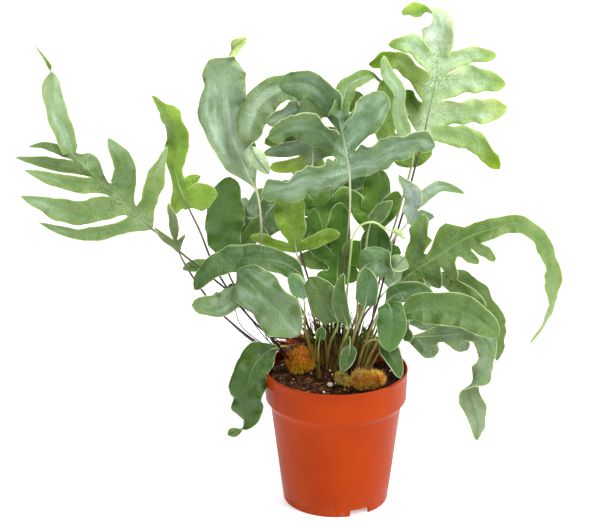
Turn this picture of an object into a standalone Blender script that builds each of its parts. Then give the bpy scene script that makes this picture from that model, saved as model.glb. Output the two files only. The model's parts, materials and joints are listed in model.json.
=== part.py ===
"""A blue star fern in a plastic nursery pot.

Metres, +Z up. The origin is the middle of the pot's underside, and the plant's front faces -Y.

A frond is one open sheet, thickened: a narrow strip runs up the stalk and on along the rachis, side
lobes grow from the strip's edges, and an end lobe closes it. The fronds' own points are listed in
millimetres: those that the stalk, the lobed rachis and the end lobe pass through, and each lobe's tip.
"""
import math

import bpy
import bmesh
import numpy as np
from mathutils import Vector
from mathutils.bvhtree import BVHTree

MM = 0.001
GAP = 0.3                  # between pieces that touch

# pot
POT_HEIGHT = 118.0
RIM_RADIUS = 60.0
BASE_RADIUS = 44.0
WALL = 1.6
BAND_HEIGHT = 27.0         # the thicker band under the rim
BAND_STEP = 4.6            # how far the wall steps in below it
BAND_CHAMFER = 6.0
PAD_RADIUS = 26.0          # the flat middle of the base
CHANNEL_HEIGHT = 6.5       # the raised ring round it
FOOT_WIDTH = 2.6
POT_SIDES = 48
NOTCHES = 3
NOTCH_WIDTH = 18.0
NOTCH_HEIGHT = 5.8
NOTCH_AZIMUTH = -63.0      # of the first one, in degrees from +X

# soil
SOIL_TOP = 107.0
SOIL_SIDES = 32

# fronds
STALK_RADIUS = 1.0
TIP_RADIUS = 0.35
STALK_THICKNESS = 2.1
LEAF_SHARE = 0.36          # a blade's thickness over the stalk's
FIDDLEHEAD_RADIUS = 0.85
WING = 6.0                 # the blade's narrow margin along the rachis, between its lobes
BLUNT = 6.0                # how squarely a lobe ends
STALK_STEP = 12.0
LOBE_STEP = 8.0
COLUMNS = 2                # of faces across a lobe
WING_ROWS = 1
SHINGLE = math.radians(13.0)   # each side lobe's tilt, its upper margin over the next lobe
PINNATE_LEAN = 62.0        # degrees from the rachis to the lobes of a frond listed by pairs


# ---------------------------------------------------------------- curves

def unit(v):
    return v / max(np.linalg.norm(v), 1e-9)


def smooth(low, high, x):
    t = np.clip((x - low) / (high - low), 0.0, 1.0)
    return t * t * (3.0 - 2.0 * t)


def turned(v, axis, angle):
    """v, square to axis, turned about it."""
    return v * math.cos(angle) + np.cross(axis, v) * math.sin(angle)


class Path:
    """A smooth curve with a normal that doesn't spin, read by its arc length in millimetres."""

    def __init__(self, points, normal, start=0):
        knots = np.array(points, float)
        dense = [knots[0]]
        marks = [0]
        for i in range(len(knots) - 1):
            before = knots[i - 1] if i else 2 * knots[0] - knots[1]
            after = knots[i + 2] if i + 2 < len(knots) else 2 * knots[-1] - knots[-2]
            dense += list(self.segment(before, knots[i], knots[i + 1], after))
            marks.append(len(dense) - 1)
        self.points = np.array(dense)
        steps = np.linalg.norm(np.diff(self.points, axis=0), axis=1)
        self.arc = np.concatenate([[0.0], np.cumsum(steps)])
        self.length = self.arc[-1]
        self.knots = self.arc[marks]
        slope = np.gradient(self.points, self.arc, axis=0)
        self.slopes = slope / np.linalg.norm(slope, axis=1)[:, None]
        self.normals = self.carried(np.array(normal, float), marks[start])

    @staticmethod
    def segment(p0, p1, p2, p3, count=14):
        """A centripetal Catmull-Rom stretch from p1 to p2, without p1."""
        gaps = [max(np.linalg.norm(b - a), 1e-6) ** 0.5 for a, b in ((p0, p1), (p1, p2), (p2, p3))]
        t0, t1, t2, t3 = np.concatenate([[0.0], np.cumsum(gaps)])
        t = np.linspace(t1, t2, count + 1)[1:, None]
        a1 = (t1 - t) / (t1 - t0) * p0 + (t - t0) / (t1 - t0) * p1
        a2 = (t2 - t) / (t2 - t1) * p1 + (t - t1) / (t2 - t1) * p2
        a3 = (t3 - t) / (t3 - t2) * p2 + (t - t2) / (t3 - t2) * p3
        b1 = (t2 - t) / (t2 - t0) * a1 + (t - t0) / (t2 - t0) * a2
        b2 = (t3 - t) / (t3 - t1) * a2 + (t - t1) / (t3 - t1) * a3
        return (t2 - t) / (t2 - t1) * b1 + (t - t1) / (t2 - t1) * b2

    def carried(self, normal, start):
        """The normal at every point, carried both ways from one of them."""
        normals = np.zeros_like(self.points)
        slope = self.slopes[start]
        normals[start] = unit(normal - slope * normal.dot(slope))
        for step in (1, -1):
            stop = len(self.points) if step > 0 else -1
            for i in range(start + step, stop, step):
                slope = self.slopes[i]
                last = normals[i - step]
                normals[i] = unit(last - slope * last.dot(slope))
        return normals

    def at(self, s):
        """Point, direction and normal at arc length s."""
        parts = [[np.interp(s, self.arc, row[:, k]) for k in range(3)]
                 for row in (self.points, self.slopes, self.normals)]
        point, slope, normal = (np.array(part) for part in parts)
        slope = unit(slope)
        return point, slope, unit(normal - slope * normal.dot(slope))


def lobe_path(base, part, normal, outward):
    """The midrib of a side lobe: out of the rachis within the blade, then towards its tip."""
    tip = part["tip"]
    if part["face"]:
        normal = unit(np.array(part["face"], float))
    if part["via"]:
        return Path([base, *part["via"], tip], normal)
    reach = np.linalg.norm(tip - base)
    aim = (tip - base) / reach
    leave = unit(unit(aim - normal * aim.dot(normal)) + 0.35 * outward)
    arrive = unit(aim + part["droop"] * np.array([0.0, 0.0, -1.0]))
    hooks = [base, base + leave * 0.4 * reach, tip - arrive * 0.35 * reach, tip]
    points = []
    for t in np.linspace(0.0, 1.0, 9):
        weights = [(1 - t) ** 3, 3 * t * (1 - t) ** 2, 3 * t * t * (1 - t), t ** 3]
        points.append(sum(w * p for w, p in zip(weights, hooks)))
    return Path(points, normal)


def rows_along(start, end, step, flip):
    """Distances from start to end, closer together round a half turn."""
    fine = np.linspace(start, end, 120)
    density = np.ones_like(fine)
    if flip:
        density += 1.6 * np.exp(-((fine - flip) / 10.0) ** 2)
    total = np.concatenate([[0.0], np.cumsum((density[1:] + density[:-1]) / 2)])
    span = (end - start) * density.mean()
    count = max(2, round(span / step))
    return np.interp(np.linspace(0, total[-1], count + 1), total, fine)


# ---------------------------------------------------------------- the sheet of a frond

def lobe(s, tip, width, droop=0.3, via=(), neck=0.72, face=None):
    """A side lobe: how far up the lobed rachis (0 to 1), its tip, its width and how its end droops.
    via lists points on its midrib, neck is the share of its width where it leaves the rachis, and
    face, where it isn't the rachis's own, is the way its upper side looks there."""
    return {"s": s, "tip": np.array(tip, float), "width": width, "droop": droop, "via": list(via),
            "neck": neck, "face": face}


def half_width(part, t):
    """Half a lobe's width, t being the share of its length."""
    neck = part["neck"]
    blunt = part.get("blunt", BLUNT)
    swell = neck + (1.0 - neck) * math.sin(0.5 * math.pi * min(t / 0.55, 1.0))
    return 0.5 * part["width"] * swell * max(1.0 - t ** blunt, 0.0) ** (0.45 + 0.9 / blunt)


def pinch(end, t, length):
    """The share of an end lobe's width that is left round its half turn and past it."""
    flip = end["flip"]
    if not flip:
        return 1.0
    at_turn = 1.0 - 0.45 * math.exp(-((t - flip) * length / 9.0) ** 2)
    return at_turn * (1.0 - (1.0 - end["after"]) * smooth(flip - 0.05, flip + 0.1, t))


def half_turn(end, t, length):
    """How far an end lobe has turned over at share t of its length."""
    if not end["flip"]:
        return 0.0
    reach = 12.0 / length
    return math.pi * smooth(end["flip"] - reach, end["flip"] + reach, t)


def ripple(across, distance, width, seed):
    """How far the blade lifts off its plane: a shallow channel, and waves along the margins."""
    side = 1.0 if across > 0 else -1.0
    lift = 0.10 * width * abs(across)
    wave = math.sin(distance / 4.3 + 2.1 * seed + 1.3 * side)
    return lift + 0.07 * width * abs(across) ** 1.5 * wave * smooth(4.0, 16.0, distance)


class Sheet:
    """An open mesh with a share of thickness at each vertex."""

    def __init__(self):
        self.points = []
        self.shares = []
        self.faces = []

    def add(self, point, share):
        self.points.append(point)
        self.shares.append(share)
        return len(self.points) - 1

    def grid(self, rows, side):
        """Faces over rows of vertex numbers, which step outwards on the given side."""
        for near, far in zip(rows, rows[1:]):
            for a in range(len(near) - 1):
                ring = [near[a], near[a + 1], far[a + 1], far[a]]
                if side < 0:
                    ring.reverse()
                ring = [v for i, v in enumerate(ring) if v != ring[i - 1]]
                if len(set(ring)) > 2:
                    self.faces.append(ring)


def bounds(lobes, rows):
    """The rows of the rachis between which each lobe on one side grows."""
    if not lobes:
        return [0]
    middles = [(a["s"] + b["s"]) / 2 for a, b in zip(lobes, lobes[1:])]
    edges = [0] + [round(middle * rows) for middle in middles] + [rows]
    least = max(1, rows // (2 * len(lobes)))
    for i in range(1, len(lobes)):
        edges[i] = max(edges[i], edges[i - 1] + least)
    for i in range(len(lobes) - 1, 0, -1):
        edges[i] = min(edges[i], edges[i + 1] - least)
    return edges


def frond_sheet(frond, step=LOBE_STEP, columns=COLUMNS, wing_rows=WING_ROWS, stalk_step=STALK_STEP):
    """The frond's open sheet, in millimetres."""
    sheet = Sheet()
    axis = Path(frond["points"], frond["face"], frond["facing"])
    blade = axis.knots[frond["first"]]
    lobed = axis.knots[frond["last"]]
    end = frond["end"]
    end_length = axis.length - lobed
    sides = sort_lobes(frond, axis, blade, lobed)
    most = max(len(sides[-1]), len(sides[1]))
    rachis_rows = columns * most
    flip_at = lobed + end["flip"] * end_length if end["flip"] else 0.0

    # the strip up the stalk and the rachis
    levels = list(rows_along(0.0, blade, stalk_step, 0.0))
    first = len(levels) - 1
    if most:
        levels += list(np.linspace(blade, lobed, rachis_rows + 1))[1:]
    last = len(levels) - 1
    levels += list(rows_along(lobed, axis.length, step, flip_at))[1:]
    middle = []
    edge = {-1: [], 1: []}
    frames = []
    for s in levels:
        point, slope, normal = axis.at(s)
        t = max(0.0, (s - lobed) / end_length)
        normal = turned(normal, slope, half_turn(end, t, end_length))
        across = np.cross(slope, normal)
        frames.append((point, slope, normal, across, s, t))
        grown = smooth(blade, axis.length, s)
        radius = STALK_RADIUS + (TIP_RADIUS - STALK_RADIUS) * grown
        if s is levels[-1]:
            tip = sheet.add(point, LEAF_SHARE)
            middle.append(tip)
            edge[-1].append(tip)
            edge[1].append(tip)
            continue
        thick = 1.0 - 0.55 * grown
        middle.append(sheet.add(point, thick))
        for side in (-1, 1):
            edge[side].append(sheet.add(point + across * radius * side, 0.62 * thick))

    for side in (-1, 1):
        sheet.grid([middle, edge[side]], -side)
        lobes = sides[side]
        edges = [first + b for b in bounds(lobes, rachis_rows)]
        shared = None
        for i, part in enumerate(lobes):
            base = edge[side][edges[i]:edges[i + 1] + 1]
            shared = add_lobe(sheet, part, base, frames[(edges[i] + edges[i + 1]) // 2], side,
                              shared, step, wing_rows, frond["wing"], frond["seed"] + i)
        add_end(sheet, frond, edge[side], frames, edges[-1], side, shared, wing_rows)
    return sheet


def sort_lobes(frond, axis, blade, lobed):
    """The lobes on each side of the rachis, from the lowest up."""
    sides = {-1: [], 1: []}
    for part in frond["lobes"]:
        point, slope, normal = axis.at(blade + part["s"] * (lobed - blade))
        across = np.cross(slope, normal)
        if "reach" in part:
            lean = math.radians(part["lean"])
            ahead = slope * math.cos(lean) + across * math.sin(lean) * part["side"]
            part = lobe(part["s"], point + part["reach"] * ahead, part["width"])
        side = 1 if (part["tip"] - point).dot(across) > 0 else -1
        sides[side].append(part)
    for side in sides:
        sides[side].sort(key=lambda part: part["s"])
    return sides


def add_lobe(sheet, part, base, frame, side, shared, step, wing_rows, wing, seed):
    """One side lobe on its stretch of the strip's edge. Gives back the vertices of its far edge
    that the next lobe shares."""
    point, slope, normal, across = frame[:4]
    path = lobe_path(point, part, normal, across * side)
    length = path.length
    outer = rows_along(wing, length, step, 0.0)[1:]
    distances = [wing * k / wing_rows for k in range(1, wing_rows + 1)] + list(outer)
    rows = [list(base)]
    ends = []
    for k, distance in enumerate(distances):
        t = distance / length
        if distance >= length - 1e-6:
            tip = sheet.add(part["tip"], LEAF_SHARE)
            rows.append([tip] * len(base))
            break
        at, along, up = path.at(distance)
        up = turned(up, along, side * SHINGLE * smooth(0.0, 3.0 * wing, distance))
        wide = np.cross(up, along) * side
        half = half_width(part, t)
        grown = smooth(0.0, 2.4 * wing, distance)
        row = []
        for a, foot in enumerate(base):
            c = 2.0 * a / (len(base) - 1) - 1.0
            lift = ripple(c, distance, 2 * half, seed)
            free = at + wide * half * c + up * lift
            held = sheet.points[foot] + path.slopes[0] * distance
            place = held + (free - held) * grown
            if k < wing_rows and a == 0 and shared:
                corner = shared[k]
                sheet.points[corner] = (sheet.points[corner] + place) / 2
                row.append(corner)
            else:
                row.append(sheet.add(place, LEAF_SHARE))
        if k < wing_rows:
            ends.append(row[-1])
        rows.append(row)
    sheet.grid(rows, -side)
    return ends


def add_end(sheet, frond, edge, frames, start, side, shared, wing_rows):
    """Half of the end lobe, from row start of the strip to its tip."""
    end = frond["end"]
    columns = []
    begin = frames[start][4]
    length = frames[-1][4] - begin
    for j in range(start, len(frames)):
        point, slope, normal, across, s, t = frames[j]
        if j == len(frames) - 1:
            columns.append([edge[j]] * (wing_rows + 1))
            continue
        if j == start and shared is None:
            columns.append([edge[j]] * (wing_rows + 1))
            continue
        share = (s - begin) / length
        half = half_width(end, share) * pinch(end, share, length)
        start_half = frond["wing"] if shared else STALK_RADIUS
        half = start_half + (half - start_half) * smooth(0.0, 0.22, share)
        inner = np.linalg.norm(sheet.points[edge[j]] - point)
        half = max(half, inner + 0.3)
        row = [edge[j]]
        for i in range(1, wing_rows + 1):
            reach = inner + (half - inner) * i / wing_rows
            lift = ripple(side * reach / half, s - begin, 2 * half, frond["seed"])
            place = point + across * side * reach + normal * lift
            if j == start:
                corner = shared[i - 1]
                sheet.points[corner] = (sheet.points[corner] + place) / 2
                row.append(corner)
            else:
                row.append(sheet.add(place, LEAF_SHARE))
        columns.append(row)
    sheet.grid([list(column) for column in zip(*columns)], -side)


# ---------------------------------------------------------------- the fronds

FRONDS = []


def frond(name, stalk, rachis, tip, face, width, lobes=(), neck=0.72, flip=0.0, after=0.8, wing=WING,
          facing=0, blunt=BLUNT):
    """A frond: the points of its stalk from the foot up, of its lobed rachis, and of its end lobe.
    face is the way its upper side looks, at the point of the rachis or the end lobe that facing
    counts to. The lower blunt is, the more its lobes taper to a point."""
    end = {"width": width, "neck": neck, "flip": flip, "after": after, "blunt": blunt}
    FRONDS.append({"name": name, "points": list(stalk) + list(rachis) + list(tip),
                   "first": len(stalk), "last": len(stalk) + len(rachis) - 1, "face": face,
                   "lobes": [dict(part, blunt=blunt) for part in lobes], "seed": len(FRONDS),
                   "end": end, "wing": wing, "facing": len(stalk) + facing})


def pinnate(pairs, reach, width):
    """Side lobes in pairs, the middle ones longest."""
    lobes = []
    for i in range(pairs):
        s = (i + 0.5) / pairs
        for side in (-1, 1):
            lobes.append({"s": s, "side": side, "reach": reach * (1.0 - 0.5 * (s - 0.35) ** 2),
                          "width": width, "lean": PINNATE_LEAN})
    return lobes


def left_fronds():
    frond("frond_far_left",
          [(-36, 42, 108), (-38, 42, 122), (-50, 40, 134), (-72, 31, 158), (-112, 14, 200)],
          [(-151, 0, 240), (-170, -2, 260), (-184, -4, 276), (-200, -7, 292), (-214, -8, 308)],
          [(-219, -8, 322), (-224, -8, 336), (-227, -7, 349), (-229, -5, 361), (-228, -2, 372),
           (-232, -1, 382), (-241, 0, 395)],
          (-.1, -.8, .6), 20,
          [lobe(.1, (-243, -12, 250), 13, via=[(-209, -10, 239)], neck=.9),
           lobe(.32, (-256, -14, 273), 25, via=[(-215, -12, 260)], neck=.55),
           lobe(.54, (-253, -10, 294), 15, via=[(-221, -9, 284)]),
           lobe(.8, (-262, 8, 299), 12, via=[(-236, 4, 296)]),
           lobe(1.0, (-253, 26, 302), 9, via=[(-238, 18, 306)]),
           lobe(.12, (-137, -4, 312), 20, via=[(-149, -6, 283)], neck=.6),
           lobe(.38, (-184, -12, 322), 24, via=[(-172, -10, 293)], neck=.7),
           lobe(.85, (-200, -10, 309), 20)],
          neck=.8, flip=.76, after=.4, wing=7.0, blunt=2.6)
    frond("frond_left_bright",
          [(-24, 26, 132), (-38, 22, 135), (-54, 20, 138), (-76, 18, 160), (-100, 14, 200), (-113, 10, 236)],
          [(-121, 8, 255), (-127, 8, 270), (-130, 8, 280)],
          [(-132, 8, 292), (-130, 6, 308), (-132, 5, 323), (-138, 3, 339), (-149, 2, 353)],
          (.2, .9, .4), 24,
          [lobe(.85, (-111, 14, 281), 11, .1), lobe(.4, (-97, 12, 266), 26, .2, neck=.8),
           lobe(.2, (-135, 12, 246), 12, .8)], neck=.3, blunt=3.0)
    frond("frond_left_curled",
          [(-38, 20, 128), (-60, 14, 131), (-86, 4, 155), (-102, 2, 173), (-120, 0, 201)],
          [(-129, -2, 220), (-132, -3, 233)],
          [(-134, -2, 246), (-138, 4, 262)],
          (.5, -.8, .2), 10,
          [lobe(.8, (-149, -10, 246), 7, -.3), lobe(.3, (-124, -8, 239), 7, -.3)], wing=3.0, blunt=2.6)
    frond("frond_tall_left",
          [(-30, 20, 132), (-50, 16, 131), (-60, 14, 160), (-63, 14, 196), (-62, 14, 235)],
          [(-65, 13, 266)],
          [(-72, 12, 282), (-79, 12, 299), (-88, 12, 319), (-92, 12, 337), (-91, 13, 358),
           (-90, 15, 374), (-84, 18, 387), (-73, 20, 396)],
          (0, -.95, .2), 38, neck=.35, flip=.87, after=.5)
    frond("frond_left_dark",
          [(-18, 38, 136), (-36, 40, 141), (-54, 42, 147), (-72, 40, 159), (-85, 34, 178)],
          [(-90, 28, 192), (-92, 30, 202)],
          [(-93, 31, 213), (-94, 32, 231), (-91, 33, 253), (-88, 34, 274)],
          (0, .9, .3), 34,
          [lobe(.3, (-128, 20, 197), 12, .6), lobe(.8, (-62, 34, 240), 15, 0)], blunt=4.5)
    frond("frond_left_arch",
          [(-12, 14, 128), (-17, 10, 147), (-20, 6, 173)],
          [(-26, 2, 192)],
          [(-34, -1, 205), (-52, -4, 214), (-76, -4, 216), (-96, -4, 211), (-107, -5, 203), (-117, -6, 189)],
          (.1, -.6, .8), 22)
    frond("frond_front_left",
          [(-40, 8, 128), (-52, -6, 145), (-68, -20, 175)],
          [(-81, -29, 206), (-80, -33, 211)],
          [(-72, -40, 208), (-59, -45, 198), (-46, -50, 185), (-31, -54, 168)],
          (-.3, -.85, .35), 38,
          [lobe(.5, (-118, -38, 188), 20, via=[(-84, -33, 196), (-93, -36, 188)],
                face=(.1, -.9, .3), neck=.9)],
          neck=.85, facing=3)
    frond("frond_over_rim",
          [(-38, 12, 128), (-41, 8, 133)],
          [(-45, 6, 134)],
          [(-57, -1, 132), (-69, -9, 121), (-74, -15, 104), (-74, -17, 88), (-75, -17, 73), (-91, -14, 62)],
          (-.5, -.7, .5), 29, neck=.9, flip=.84, after=.7)


def centre_fronds():
    frond("frond_centre",
          [(2, 15, 128), (3, 7, 165), (5, -2, 206), (10, -8, 252)],
          [(10, -11, 286), (8, -14, 304), (5, -17, 322), (1, -19, 339)],
          [(4, -16, 353), (8, -7, 363), (17, 2, 366), (26, 10, 366), (36, 15, 361)],
          (-.1, -.8, .6), 15,
          [lobe(.1, (-61, -36, 281), 32, via=[(-28, -29, 291)], neck=.85),
           lobe(.48, (-56, -30, 327), 28, via=[(-28, -25, 336)], neck=.8),
           lobe(.9, (-47, -1, 361), 27, via=[(-8, -12, 355), (-24, -7, 365)], neck=.65),
           lobe(.2, (78, -26, 319), 28, via=[(34, -21, 311), (57, -25, 323)], neck=.95),
           lobe(.62, (36, -26, 364), 28, via=[(22, -22, 342)], neck=.75),
           lobe(.97, (21, 8, 350), 9, 0)], wing=9.0)
    frond("frond_behind_centre",
          [(-8, 32, 140), (-20, 30, 175), (-31, 29, 220), (-27, 29, 262)],
          [(-20, 26, 288), (-22, 25, 308), (-24, 25, 327), (-26, 25, 345)],
          [(-41, 18, 354), (-54, 11, 351), (-65, 4, 341), (-70, -2, 328), (-71, -4, 315),
           (-65, -4, 302), (-55, -3, 288)],
          (-.1, -.9, .4), 26,
          [lobe(.97, (-58, -4, 332), 19, via=[(-38, 6, 338)], neck=.7),
           lobe(.6, (-59, 6, 311), 19, .3), lobe(.33, (-60, 8, 302), 13, .1),
           lobe(.05, (-55, 8, 290), 14, 0),
           lobe(.25, (16, 40, 301), 24, .4), lobe(.85, (22, 40, 342), 26, -.2, neck=.9)],
          flip=.74, after=.8, wing=15.0, facing=5)
    frond("frond_pale_upright",
          [(12, 20, 128), (30, 16, 180), (54, 14, 262)],
          [(62, 12, 305)],
          [(56, 12, 317), (50, 12, 330), (49, 12, 344), (48, 11, 357), (40, 10, 369), (37, 9, 384)],
          (.5, -.85, .2), 13, neck=.9)
    frond("frond_backlit",
          [(-12, 24, 140), (-20, 18, 160), (-28, 16, 195)],
          [(-33, 12, 215), (-34, 11, 224)],
          [(-36, 10, 238), (-39, 8, 256), (-42, 6, 276)],
          (0, .9, .4), 26,
          [lobe(.4, (-72, 28, 223), 10, .1), lobe(.45, (3, 5, 234), 12, .2)])
    frond("frond_inner_left",
          [(-6, 34, 138), (-8, 38, 163)],
          [(-9, 40, 190), (-10, 40, 212), (-12, 41, 228), (-14, 42, 244)],
          [(-17, 42, 258), (-20, 40, 280), (-24, 38, 296)],
          (0, -.9, .4), 26,
          [lobe(.2, (-32, 40, 196), 17, .2), lobe(.58, (-40, 38, 234), 18, .3),
           lobe(.95, (-48, 36, 268), 18, .3),
           lobe(.12, (11, 38, 186), 16, .2), lobe(.5, (14, 34, 214), 17, .3),
           lobe(.9, (18, 34, 258), 22, .3)], wing=8.0)
    frond("frond_inner_right",
          [(16, 24, 132), (22, 24, 165)],
          [(26, 24, 190), (28, 22, 205), (30, 22, 222), (31, 22, 240)],
          [(32, 22, 252), (33, 22, 268), (33, 20, 286)],
          (0, .9, .4), 23,
          [lobe(.48, (54, 20, 212), 16, .3), lobe(.93, (51, 20, 266), 16, 0),
           lobe(.48, (4, 20, 214), 20, .3), lobe(.93, (10, 22, 266), 15, .1)])
    frond("frond_inner_upright",
          [(-2, 26, 138), (0, 27, 156)],
          [(1, 27, 180), (1, 27, 194), (2, 27, 206)],
          [(2, 27, 216), (2, 27, 234), (3, 27, 254)],
          (0, .9, .4), 20,
          [lobe(.22, (-17, 26, 186), 15, .2),
           lobe(.75, (-19, 25, 250), 14, via=[(-15, 26, 214), (-18, 25, 230)]),
           lobe(.25, (19, 29, 186), 15, .2)], wing=7.0)
    frond("frond_behind_right",
          [(18, 34, 134), (26, 38, 180), (36, 40, 250)],
          [(40, 40, 290), (42, 39, 316), (42, 38, 330)],
          [(42, 38, 340), (41, 38, 349), (40, 37, 357)],
          (0, .9, .4), 19,
          [lobe(.25, (58, 32, 306), 12, .1), lobe(.7, (56, 30, 334), 15, .1),
           lobe(.75, (30, 38, 330), 12, -.2),
           lobe(.03, (79, 33, 297), 14, via=[(60, 36, 288)])])


def small_leaves():
    frond("leaf_front_left",
          [(-20, 8, 116), (-26, -8, 158)], [(-27, -20, 186)],
          [(-31, -23, 197), (-37, -22, 210)], (-.3, -.9, .3), 16)
    frond("leaf_front_broad",
          [(-8, 12, 116), (-5, -6, 142)], [(1, -22, 166)],
          [(-5, -30, 180), (-14, -32, 196), (-22, -28, 209)], (.1, -.9, .4), 25)
    frond("leaf_front_narrow",
          [(-1, 10, 114), (4, -14, 142)], [(9, -33, 166)],
          [(4, -38, 184), (2, -39, 200), (5, -36, 215)], (-.2, -.9, .3), 14, blunt=3.5)
    frond("leaf_front_round",
          [(8, 6, 112), (13, -20, 150)], [(22, -38, 186)],
          [(24, -42, 198), (24, -41, 209), (22, -38, 221)], (0, -.95, .3), 21, neck=.6, blunt=3.5)
    frond("leaf_front_curled",
          [(12, 14, 118), (17, -7, 170)], [(19, -22, 212)],
          [(31, -24, 220), (45, -27, 216), (55, -20, 223)], (0, -.85, .5), 29, flip=.66, after=.9,
          facing=1)
    frond("leaf_mid_right",
          [(16, 18, 128), (22, 4, 190)], [(27, 0, 243)],
          [(33, -1, 252), (45, -4, 266)], (.1, -.9, .3), 14, blunt=3.0)
    frond("leaf_inner_round",
          [(10, 22, 130), (23, 12, 180)], [(29, 8, 204)],
          [(32, 8, 217), (33, 8, 228), (34, 8, 240)], (0, -.9, .3), 27, neck=.6)
    frond("leaf_right_drooping",
          [(16, 4, 112), (28, -20, 160)], [(40, -36, 189)],
          [(43, -46, 187), (44, -52, 174), (42, -54, 154)], (0, -.9, .4), 25, facing=2, blunt=4.0)
    frond("leaf_over_soil",
          [(15, -2, 112), (25, -24, 150)], [(35, -36, 156)],
          [(42, -41, 149), (47, -44, 140), (52, -46, 127)], (.2, -.8, .6), 17, facing=2, blunt=3.0)
    frond("leaf_small_drooping",
          [(4, 10, 112), (9, -8, 146), (11, -20, 152)], [(11, -24, 149)],
          [(10, -30, 142), (4, -36, 128)], (0, -.8, .5), 15, facing=1, neck=.45, blunt=2.6)
    frond("leaf_right_level",
          [(19, 6, 112), (31, -8, 155)], [(40, -13, 180)],
          [(50, -15, 189), (64, -16, 191), (80, -17, 187)], (0, -.95, .3), 17, facing=2)
    frond("leaf_small_upright",
          [(-14, 0, 112), (-15, -12, 138)], [(-14, -14, 147)],
          [(-13, -15, 153), (-12, -15, 160)], (0, -.9, .3), 9)


def right_fronds():
    frond("frond_top_right",
          [(22, 26, 128), (31, 26, 151), (43, 26, 200), (57, 28, 252), (67, 30, 293)],
          [(71, 30, 307), (74, 30, 325), (78, 30, 345), (81, 30, 363), (82, 30, 376)],
          [(82, 30, 392), (81, 28, 407), (74, 25, 415), (64, 22, 416), (51, 18, 418)],
          (-.1, -.9, .4), 28,
          [lobe(.02, (133, 16, 286), 20, via=[(92, 27, 313), (109, 23, 310), (122, 19, 301)]),
           lobe(.3, (138, 16, 339), 24, via=[(108, 22, 334)], neck=.75),
           lobe(.6, (137, 24, 356), 22, via=[(108, 29, 359)], neck=.75),
           lobe(.9, (129, 24, 380), 15, via=[(104, 29, 379)], neck=.95),
           lobe(.2, (56, 40, 347), 17, -.2),
           lobe(.58, (25, 22, 373), 20, via=[(46, 27, 377)], neck=.7),
           lobe(.92, (41, 27, 388), 17, via=[(59, 29, 389)])], neck=.8, flip=.6, after=.9, wing=9.0)
    frond("frond_mid_right",
          [(26, 16, 128), (34, 14, 180), (46, 12, 225)],
          [(58, 9, 242), (62, 7, 256)],
          [(62, 5, 266), (57, 4, 276), (50, 3, 286)],
          (0, -.9, .4), 18,
          [lobe(.85, (104, -2, 271), 13, via=[(76, 2, 273), (88, 0, 277)]),
           lobe(.4, (80, 0, 250), 16, .6), lobe(.08, (73, 2, 236), 11, -.2)], blunt=3.0)
    frond("frond_far_right",
          [(22, 14, 116), (35, 9, 150), (46, 3, 178)],
          [(54, 0, 194), (67, -4, 207), (83, -9, 220), (98, -14, 233), (112, -18, 242)],
          [(125, -20, 247), (141, -20, 252), (156, -18, 246), (168, -16, 230), (175, -14, 209),
           (176, -12, 190), (174, -10, 171), (168, -9, 155), (160, -8, 142)],
          (-.2, -.8, .5), 14,
          [lobe(.25, (71, -8, 256), 18, 0), lobe(.55, (88, -8, 248), 15, 0),
           lobe(.15, (70, -3, 184), 17, .1), lobe(.38, (84, -6, 190), 15, .2),
           lobe(.62, (97, -10, 198), 12, .3), lobe(.8, (116, -12, 214), 10, -.1),
           lobe(.97, (128, -16, 217), 11, .8)], neck=1.0, wing=9.0)
    frond("frond_right_arch",
          [(24, 8, 112), (45, 5, 162), (66, 3, 188)],
          [(80, 2, 197), (90, 1, 200)],
          [(103, 0, 196), (117, -2, 185), (127, -4, 169), (132, -4, 152), (134, -4, 138), (134, -2, 124)],
          (.1, -.6, .8), 18,
          [lobe(.6, (122, -14, 175), 13, .4)])
    frond("frond_front_right",
          [(20, -1, 112), (36, -11, 150)],
          [(49, -22, 172), (56, -28, 177)],
          [(70, -32, 182), (88, -36, 184), (106, -39, 181), (120, -42, 173), (131, -44, 163)],
          (.1, -.8, .6), 28,
          [lobe(.5, (60, -36, 155), 20, .1)])
    frond("frond_right_drooping",
          [(24, 2, 112), (42, -8, 142)],
          [(58, -14, 150), (80, -20, 154), (103, -26, 158)],
          [(116, -29, 157), (124, -30, 145), (121, -31, 131), (112, -30, 118), (109, -29, 108),
           (113, -28, 94), (117, -28, 79), (117, -28, 63)],
          (0, -.8, .6), 22,
          [lobe(.35, (80, -26, 137), 17, .1), lobe(.85, (108, -20, 141), 14, .1)],
          flip=.5, after=1.05)


def back_fronds():
    frond("frond_back_left",
          [(-16, 45, 108), (-22, 48, 132), (-36, 58, 165), (-48, 68, 192)],
          [(-56, 76, 206), (-66, 88, 218), (-76, 100, 224)],
          [(-86, 110, 226), (-98, 120, 220)],
          (.2, -.3, .9), 19, pinnate(3, 38, 20))
    frond("frond_back_middle",
          [(-10, 42, 132), (-10, 58, 170), (-8, 70, 205)],
          [(-6, 78, 222), (-2, 92, 240), (2, 108, 250)],
          [(6, 122, 252), (10, 138, 246)],
          (0, -.4, .9), 18, pinnate(3, 46, 17))
    frond("frond_back_right",
          [(14, 40, 128), (26, 52, 146), (38, 62, 156)],
          [(46, 70, 162), (58, 82, 167), (70, 94, 168)],
          [(80, 104, 166), (92, 114, 158)],
          (-.2, -.3, .9), 18, pinnate(3, 36, 15))
    frond("frond_back_low_left",
          [(-27, 42, 108), (-31, 45, 122), (-42, 50, 134), (-54, 58, 143)],
          [(-64, 66, 146), (-80, 78, 152)],
          [(-94, 88, 150), (-108, 98, 138)],
          (.1, -.2, .9), 18, pinnate(2, 30, 15))
    frond("frond_back_low_right",
          [(34, 38, 108), (38, 41, 122), (50, 48, 132)],
          [(60, 54, 136), (74, 62, 138)],
          [(86, 70, 136), (98, 78, 126)],
          (-.1, -.2, .9), 17, pinnate(2, 26, 14))


def list_fronds():
    FRONDS.clear()
    left_fronds()
    centre_fronds()
    small_leaves()
    right_fronds()
    back_fronds()
    return FRONDS


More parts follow.
